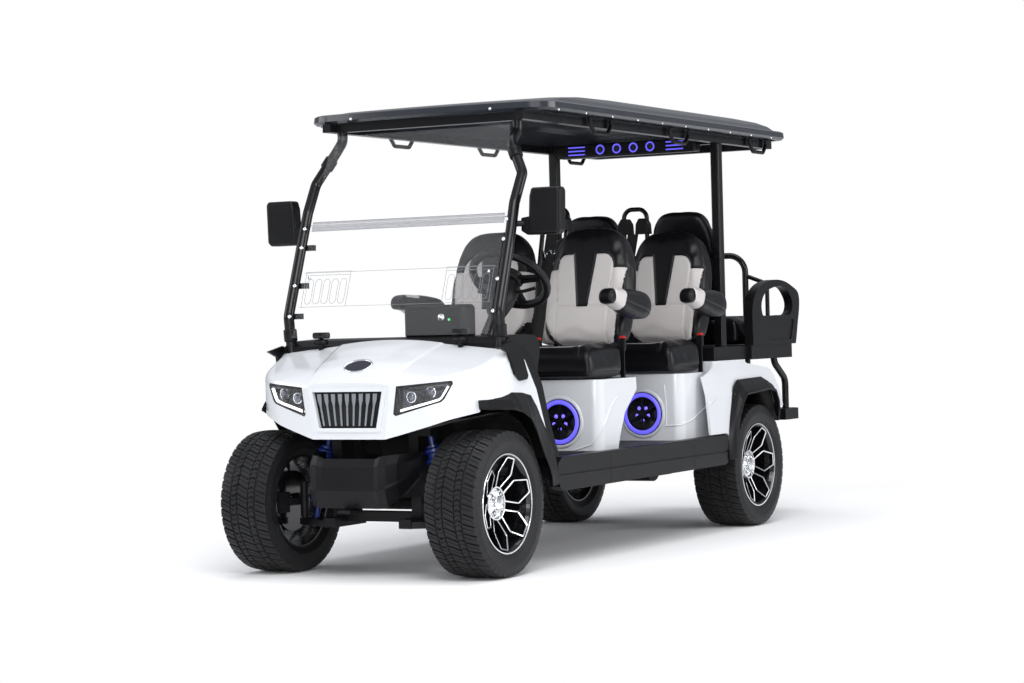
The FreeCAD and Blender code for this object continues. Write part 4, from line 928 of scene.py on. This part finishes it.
def swell(part, voxel, cap, pressure, hold, shrink):
    dense = modified(mesh_from("work", *part), "REMESH", mode="VOXEL", voxel_size=voxel)
    for step in range(2):
        dense = modified(dense, "SMOOTH", factor=0.5, iterations=2)
    rest = spots_of(dense) - shrink * normals_of(dense)
    set_spots(dense, rest)
    thing = new_object("work", dense)
    group = thing.vertex_groups.new(name="hold")
    group.add([int(k) for k in np.nonzero(hold(rest, normals_of(dense)))[0]], 1.0, "REPLACE")
    cloth = thing.modifiers.new("cloth", "CLOTH")
    cloth.settings.quality = 5
    cloth.settings.use_pressure = True
    cloth.settings.uniform_pressure_force = pressure
    cloth.settings.effector_weights.gravity = 0.0
    cloth.settings.vertex_group_mass = "hold"
    cloth.collision_settings.use_collision = False
    for step in range(1, 21):
        bpy.context.scene.frame_set(step)
    move = spots_of(evaluated(thing)) - rest
    length = np.maximum(np.linalg.norm(move, axis=1), 1e-9)
    move *= (np.minimum(length, cap) / length)[:, None]
    bpy.data.objects.remove(thing)
    bpy.context.scene.frame_set(1)
    set_spots(dense, rest + move)
    dense = modified(dense, "SMOOTH", factor=0.5, iterations=9)
    fine = modified(dense, "SUBSURF", levels=1, render_levels=1)
    faces = [tuple(face.vertices) for face in fine.polygons]
    return spots_of(fine), normals_of(fine), faces


def nearest_on(uv, paths):
    best, near = np.full(len(uv), 9.0), uv.copy()
    for path in paths:
        for a, b in zip(path, path[1:]):
            a, run = np.array(a), np.array(b) - np.array(a)
            along = np.clip(((uv - a) @ run) / (run @ run), 0, 1)
            spot = a + along[:, None] * run
            gap = np.linalg.norm(uv - spot, axis=1)
            closer = gap < best
            best[closer], near[closer] = gap[closer], spot[closer]
    return best, near


def inside(uv, outline):
    x, y = uv[:, 0], uv[:, 1]
    found = np.zeros(len(uv), bool)
    for (ax, ay), (bx, by) in zip(outline, outline[1:] + outline[:1]):
        if ay != by:
            found ^= ((ay > y) != (by > y)) & (x < (bx - ax) * (y - ay) / (by - ay) + ax)
    return found


def sew(points, normals, plane, toward, paths, depth, width, snap):
    origin, across, up = (np.array(v) for v in plane)
    uv = np.stack([(points - origin) @ across, (points - origin) @ up], axis=1)
    facing = normals @ np.array(toward) > 0.35
    best, near = nearest_on(uv, paths)
    close = facing & (best < snap)
    shift = (near - uv) * close[:, None]
    points = points + shift[:, :1] * across + shift[:, 1:] * up
    best[close] = 0
    fall = np.clip(1 - best / width, 0, 1) ** 2 * facing
    return points - normals * (depth * fall)[:, None]


def face_data(points, faces):
    corners = points[np.array([face[:4] if len(face) > 3 else face + (face[0],) for face in faces])]
    centre = corners.mean(axis=1)
    normal = np.cross(corners[:, 2] - corners[:, 0], corners[:, 3] - corners[:, 1])
    normal /= np.maximum(np.linalg.norm(normal, axis=1), 1e-12)[:, None]
    return centre, normal


def pad(name, points, faces, picks, materials, node, move=(0, 0, 0), mirror=False, body="body"):
    spots = points + np.array(move)
    if mirror:
        spots = spots * np.array((-1, 1, 1))
        faces = [face[::-1] for face in faces]
    data = mesh_from(name, spots, faces)
    thing = link(name, data, body, *materials)
    data.polygons.foreach_set("material_index", picks.astype(np.int32))
    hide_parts(node)


# The pale panel of a backrest, and its seams: across, and up along the slope
PALE_BACK = [(0.02, 0.348), (0.104, 0.347), (0.104, 0.363), (0.109, 0.385), (0.12, 0.402), (0.134, 0.411),
             (0.15, 0.414), (0.18, 0.414), (0.215, 0.172), (0.271, 0.172), (0.297, 0.414), (0.332, 0.415),
             (0.354, 0.409), (0.371, 0.393), (0.382, 0.372), (0.386, 0.347), (0.44, 0.352), (0.432, 0.252),
             (0.421, 0.16), (0.418, 0.064), (0.412, 0.03), (0.4, 0.008), (0.267, 0.002), (0.139, 0.006),
             (0.112, 0.024), (0.092, 0.055), (0.055, 0.105), (0.02, 0.16)]
BACK_SEAMS = [PALE_BACK + PALE_BACK[:1], [(0.104, 0.347), (0.118, 0.172), (0.118, 0.02)],
              [(0.386, 0.347), (0.374, 0.172), (0.376, 0.006)], [(0.118, 0.172), (0.374, 0.172)],
              [(0.44, 0.352), (0.48, 0.362)], [(0.104, 0.347), (0.02, 0.348)]]
ROWS = (("one", 0.0), ("two", ROW_TWO - ROW_ONE))
SIDES = (("left", False), ("right", True))


def four_pads(prefix, points, faces, picks, node):
    for row, move in ROWS:
        for side, mirror in SIDES:
            name = "%s_%s_%s" % (prefix, row, side)
            pad(name, points, faces, picks, (vinyl, pale_vinyl), node, (0, move, 0), mirror)


def back_pads():
    part = [p for p in loose_parts("backrests") if low_corner(p, 0) > 0 and low_corner(p, 1) < 0][0]
    behind = np.array((0.0, math.cos(SEAT_LEAN), -math.sin(SEAT_LEAN)))
    points, normals, faces = swell(part, 0.01, 0.009, 2.0, lambda p, n: n @ behind > 0.6, 0.003)
    plane = ((0, ROW_ONE + BACK_FOOT, 0.9), (1, 0, 0), (0, math.sin(SEAT_LEAN), math.cos(SEAT_LEAN)))
    points = sew(points, normals, plane, -behind, BACK_SEAMS, 0.005, 0.012, 0.003)
    centre, normal = face_data(points, faces)
    uv = np.stack([centre[:, 0], (centre - np.array(plane[0])) @ np.array(plane[2])], axis=1)
    picks = (inside(uv, PALE_BACK) & (normal @ -behind > 0.1)).astype(int)
    four_pads("back_pad", points, faces, picks, "backrests")


def bench_pads():
    part = [p for p in loose_parts("benches") if low_corner(p, 1) < ROW_ONE + 0.1][0]
    base = low_corner(part, 2)
    held = lambda p, n: (n[:, 2] < -0.6) | (p[:, 2] < base + 0.03)
    points, normals, faces = swell(part, 0.0115, 0.012, 3.0, held, 0.004)
    plane = ((0, ROW_ONE, 0), (1, 0, 0), (0, 1, 0))
    panel = [(0.062, 0.052), (0.405, 0.052), (0.412, 0.075), (0.385, 0.27), (0.062, 0.27)]
    seams = [panel + panel[:1], [(0.43, -0.06), (0.405, 0.052)], [(0.062, 0.052), (0.062, -0.06)]]
    seams += [[(-x, y) for x, y in path] for path in seams]
    points = sew(points, normals, plane, (0, 0, 1), seams, 0.0055, 0.014, 0.003)
    rise = np.clip((np.abs(points[:, 0]) - 0.36) / 0.08, 0, 1)
    back = np.clip((points[:, 1] - ROW_ONE + 0.02) / 0.12, 0, 1)
    high = np.clip((points[:, 2] - base - 0.03) / 0.06, 0, 1)
    points[:, 2] += 0.016 * (rise * rise * (3 - 2 * rise)) * (back * back * (3 - 2 * back)) * high
    plinth = np.clip(1 - np.abs(points[:, 2] - base - 0.028) / 0.008, 0, 1) ** 2
    points -= normals * (0.004 * plinth * (np.abs(normals[:, 2]) < 0.6))[:, None]
    centre, normal = face_data(points, faces)
    uv = np.stack([np.abs(centre[:, 0]), centre[:, 1] - ROW_ONE], axis=1)
    picks = (inside(uv, panel) & (normal[:, 2] > 0.3)).astype(int)
    for row, move in ROWS:
        pad("bench_pad_" + row, points, faces, picks, (vinyl, pale_vinyl), "benches", (0, move, 0))


def arm_pads():
    part = [p for p in loose_parts("armrests") if low_corner(p, 0) > 0 and low_corner(p, 1) < 0][0]
    points, normals, faces = swell(part, 0.007, 0.005, 2.0, lambda p, n: n[:, 0] < -0.9, 0.001)
    plane = ((0, ROW_ONE, 0), (0, 1, 0), (0, 0, 1))
    panel = [(0.083, 1.0), (0.098, 1.1), (0.098, 1.16), (0.225, 1.16), (0.19, 1.085), (0.15, 1.0)]
    seams = [panel + panel[:1], [(0.19, 1.085), (0.46, 1.03)]]
    points = sew(points, normals, plane, (1, 0, 0), seams, 0.003, 0.008, 0.0022)
    centre, normal = face_data(points, faces)
    uv = np.stack([centre[:, 1] - ROW_ONE, centre[:, 2]], axis=1)
    picks = (inside(uv, panel) & ((normal[:, 0] > -0.6) | (normal[:, 2] > 0.3))).astype(int)
    four_pads("arm_pad", points, faces, picks, "armrests")


def rear_pads():
    part = loose_parts("rear_cushion")[0]
    base = low_corner(part, 2)
    held = lambda p, n: (n[:, 2] < -0.6) | (p[:, 2] < base + 0.025)
    points, normals, faces = swell(part, 0.0115, 0.012, 3.0, held, 0.004)
    plane = ((0, 0, 0), (1, 0, 0), (0, 1, 0))
    seams = [[(x, ry(150)), (x, ry(575))] for x in (-0.27, -0.03, 0.03, 0.27)]
    seams += [[(-0.43, ry(d)), (0.43, ry(d))] for d in (235, 500)]
    points = sew(points, normals, plane, (0, 0, 1), seams, 0.0055, 0.014, 0.0)
    pad("rear_seat_pad", points, faces, np.zeros(len(faces), int), (vinyl,), "rear_cushion", body="rear_seat")
    part = [p for p in loose_parts("rear_backrest") if low_corner(p, 0) > 0][0]
    back = np.array((0.0, -math.cos(REAR_LEAN), -math.sin(REAR_LEAN)))
    points, normals, faces = swell(part, 0.01, 0.009, 2.0, lambda p, n: n @ back > 0.6, 0.003)
    plane = ((0, ry(110), 1.01), (1, 0, 0), (0, -math.sin(REAR_LEAN), math.cos(REAR_LEAN)))
    seams = [[(x, -0.02), (x, 0.56)] for x in (0.15, 0.34)] + [[(0.15, z), (0.34, z)] for z in (0.36, 0.18)]
    points = sew(points, normals, plane, -back, seams, 0.005, 0.012, 0.0)
    plain = np.zeros(len(faces), int)
    for side, mirror in SIDES:
        pad("rear_back_pad_" + side, points, faces, plain, (vinyl,), "rear_backrest", mirror=mirror)


belt_parts()
back_pads()
bench_pads()
arm_pads()
rear_pads()


# Camera, floor and light

def look():
    camera_data = bpy.data.cameras.new("camera")
    camera = new_object("camera", camera_data)
    right, top, forward = camera_axes()
    turn = Matrix((right, top, -forward)).transposed()
    camera.matrix_world = Matrix.Translation(EYE) @ turn.to_4x4()
    camera_data.sensor_width = SENSOR
    camera_data.lens = FOCAL / PHOTO[0] * SENSOR
    camera_data.clip_end = 100
    bpy.context.scene.camera = camera


def mixed(nodes, links, share, one, two, output):
    mix = new_node(nodes, "MixShader")
    for source, entry in ((share, "Fac"), (one, 1), (two, 2)):
        links.new(source, mix.inputs[entry])
    links.new(mix.outputs["Shader"], nodes[output].inputs["Surface"])


def backdrop():
    bpy.ops.mesh.primitive_plane_add(size=60, location=(0, 0, 0))
    floor = bpy.context.object
    floor.name = "floor"
    material, nodes, links = new_material("floor_paper")
    shader = nodes["Principled BSDF"]
    put(shader, {"Base Color": (0.95, 0.95, 0.95, 1), "Roughness": 0.9, "Specular IOR Level": 0.1})
    bright = new_node(nodes, "Emission", {"Color": (1, 1, 1, 1), "Strength": 1.0})
    place = new_node(nodes, "NewGeometry")
    scale = new_node(nodes, "VectorMath", {1: (1.0, 0.62, 0.0)})
    scale.operation = "MULTIPLY"
    links.new(place.outputs["Position"], scale.inputs[0])
    reach = new_node(nodes, "VectorMath")
    reach.operation = "LENGTH"
    links.new(scale.outputs["Vector"], reach.inputs[0])
    fade = new_node(nodes, "MapRange", {"From Min": 1.2, "From Max": 2.6})
    fade.interpolation_type = "SMOOTHSTEP"
    links.new(reach.outputs["Value"], fade.inputs["Value"])
    path = new_node(nodes, "LightPath")
    seen = new_node(nodes, "Math")
    seen.operation = "MULTIPLY"
    links.new(fade.outputs["Result"], seen.inputs[0])
    links.new(path.outputs["Is Camera Ray"], seen.inputs[1])
    one, two = shader.outputs["BSDF"], bright.outputs["Emission"]
    mixed(nodes, links, seen.outputs["Value"], one, two, "Material Output")
    floor.data.materials.append(material)
    world = bpy.data.worlds.new("sky")
    bpy.context.scene.world = world
    world.use_nodes = True
    nodes, links = world.node_tree.nodes, world.node_tree.links
    light = put(nodes["Background"], {"Color": (0.9, 0.93, 1.0, 1)})
    place = new_node(nodes, "TexCoord")
    split = new_node(nodes, "SeparateXYZ")
    links.new(place.outputs["Generated"], split.inputs["Vector"])
    rise = new_node(nodes, "MapRange", {"From Min": -0.1, "From Max": 0.9, "To Min": 0.27, "To Max": 0.62})
    links.new(split.outputs["Z"], rise.inputs["Value"])
    links.new(rise.outputs["Result"], light.inputs["Strength"])
    bright = new_node(nodes, "Background", {"Color": (1, 1, 1, 1), "Strength": 1.0})
    path = new_node(nodes, "LightPath")
    most = new_node(nodes, "Math")
    most.operation = "MAXIMUM"
    links.new(path.outputs["Is Camera Ray"], most.inputs[0])
    links.new(path.outputs["Is Transmission Ray"], most.inputs[1])
    one, two = light.outputs["Background"], bright.outputs["Background"]
    mixed(nodes, links, most.outputs["Value"], one, two, "World Output")


def area(name, place, aim, size, power):
    data = bpy.data.lights.new(name, "AREA")
    data.shape = "RECTANGLE"
    data.size, data.size_y = size
    data.energy = power
    lamp = new_object(name, data)
    lamp.location = place
    lamp.rotation_euler = (Vector(aim) - Vector(place)).to_track_quat("-Z", "Y").to_euler()


look()
backdrop()
area("key", (3.5, -5.5, 5.5), (0, -0.4, 0.8), (4.5, 3.0), 275)
area("side", (6.5, 1.0, 2.6), (0.4, 0.2, 0.7), (4.0, 2.5), 170)
area("front", (3.4, -7.5, 1.3), (0.2, 0.0, 0.8), (3.6, 1.8), 105)
area("fill", (-6.0, -4.0, 3.0), (0, 0, 0.9), (4.0, 3.0), 110)
area("top", (0, 0, 6.5), (0, 0, 0), (5.0, 5.0), 220)

bpy.context.scene.view_settings.view_transform = "Standard"
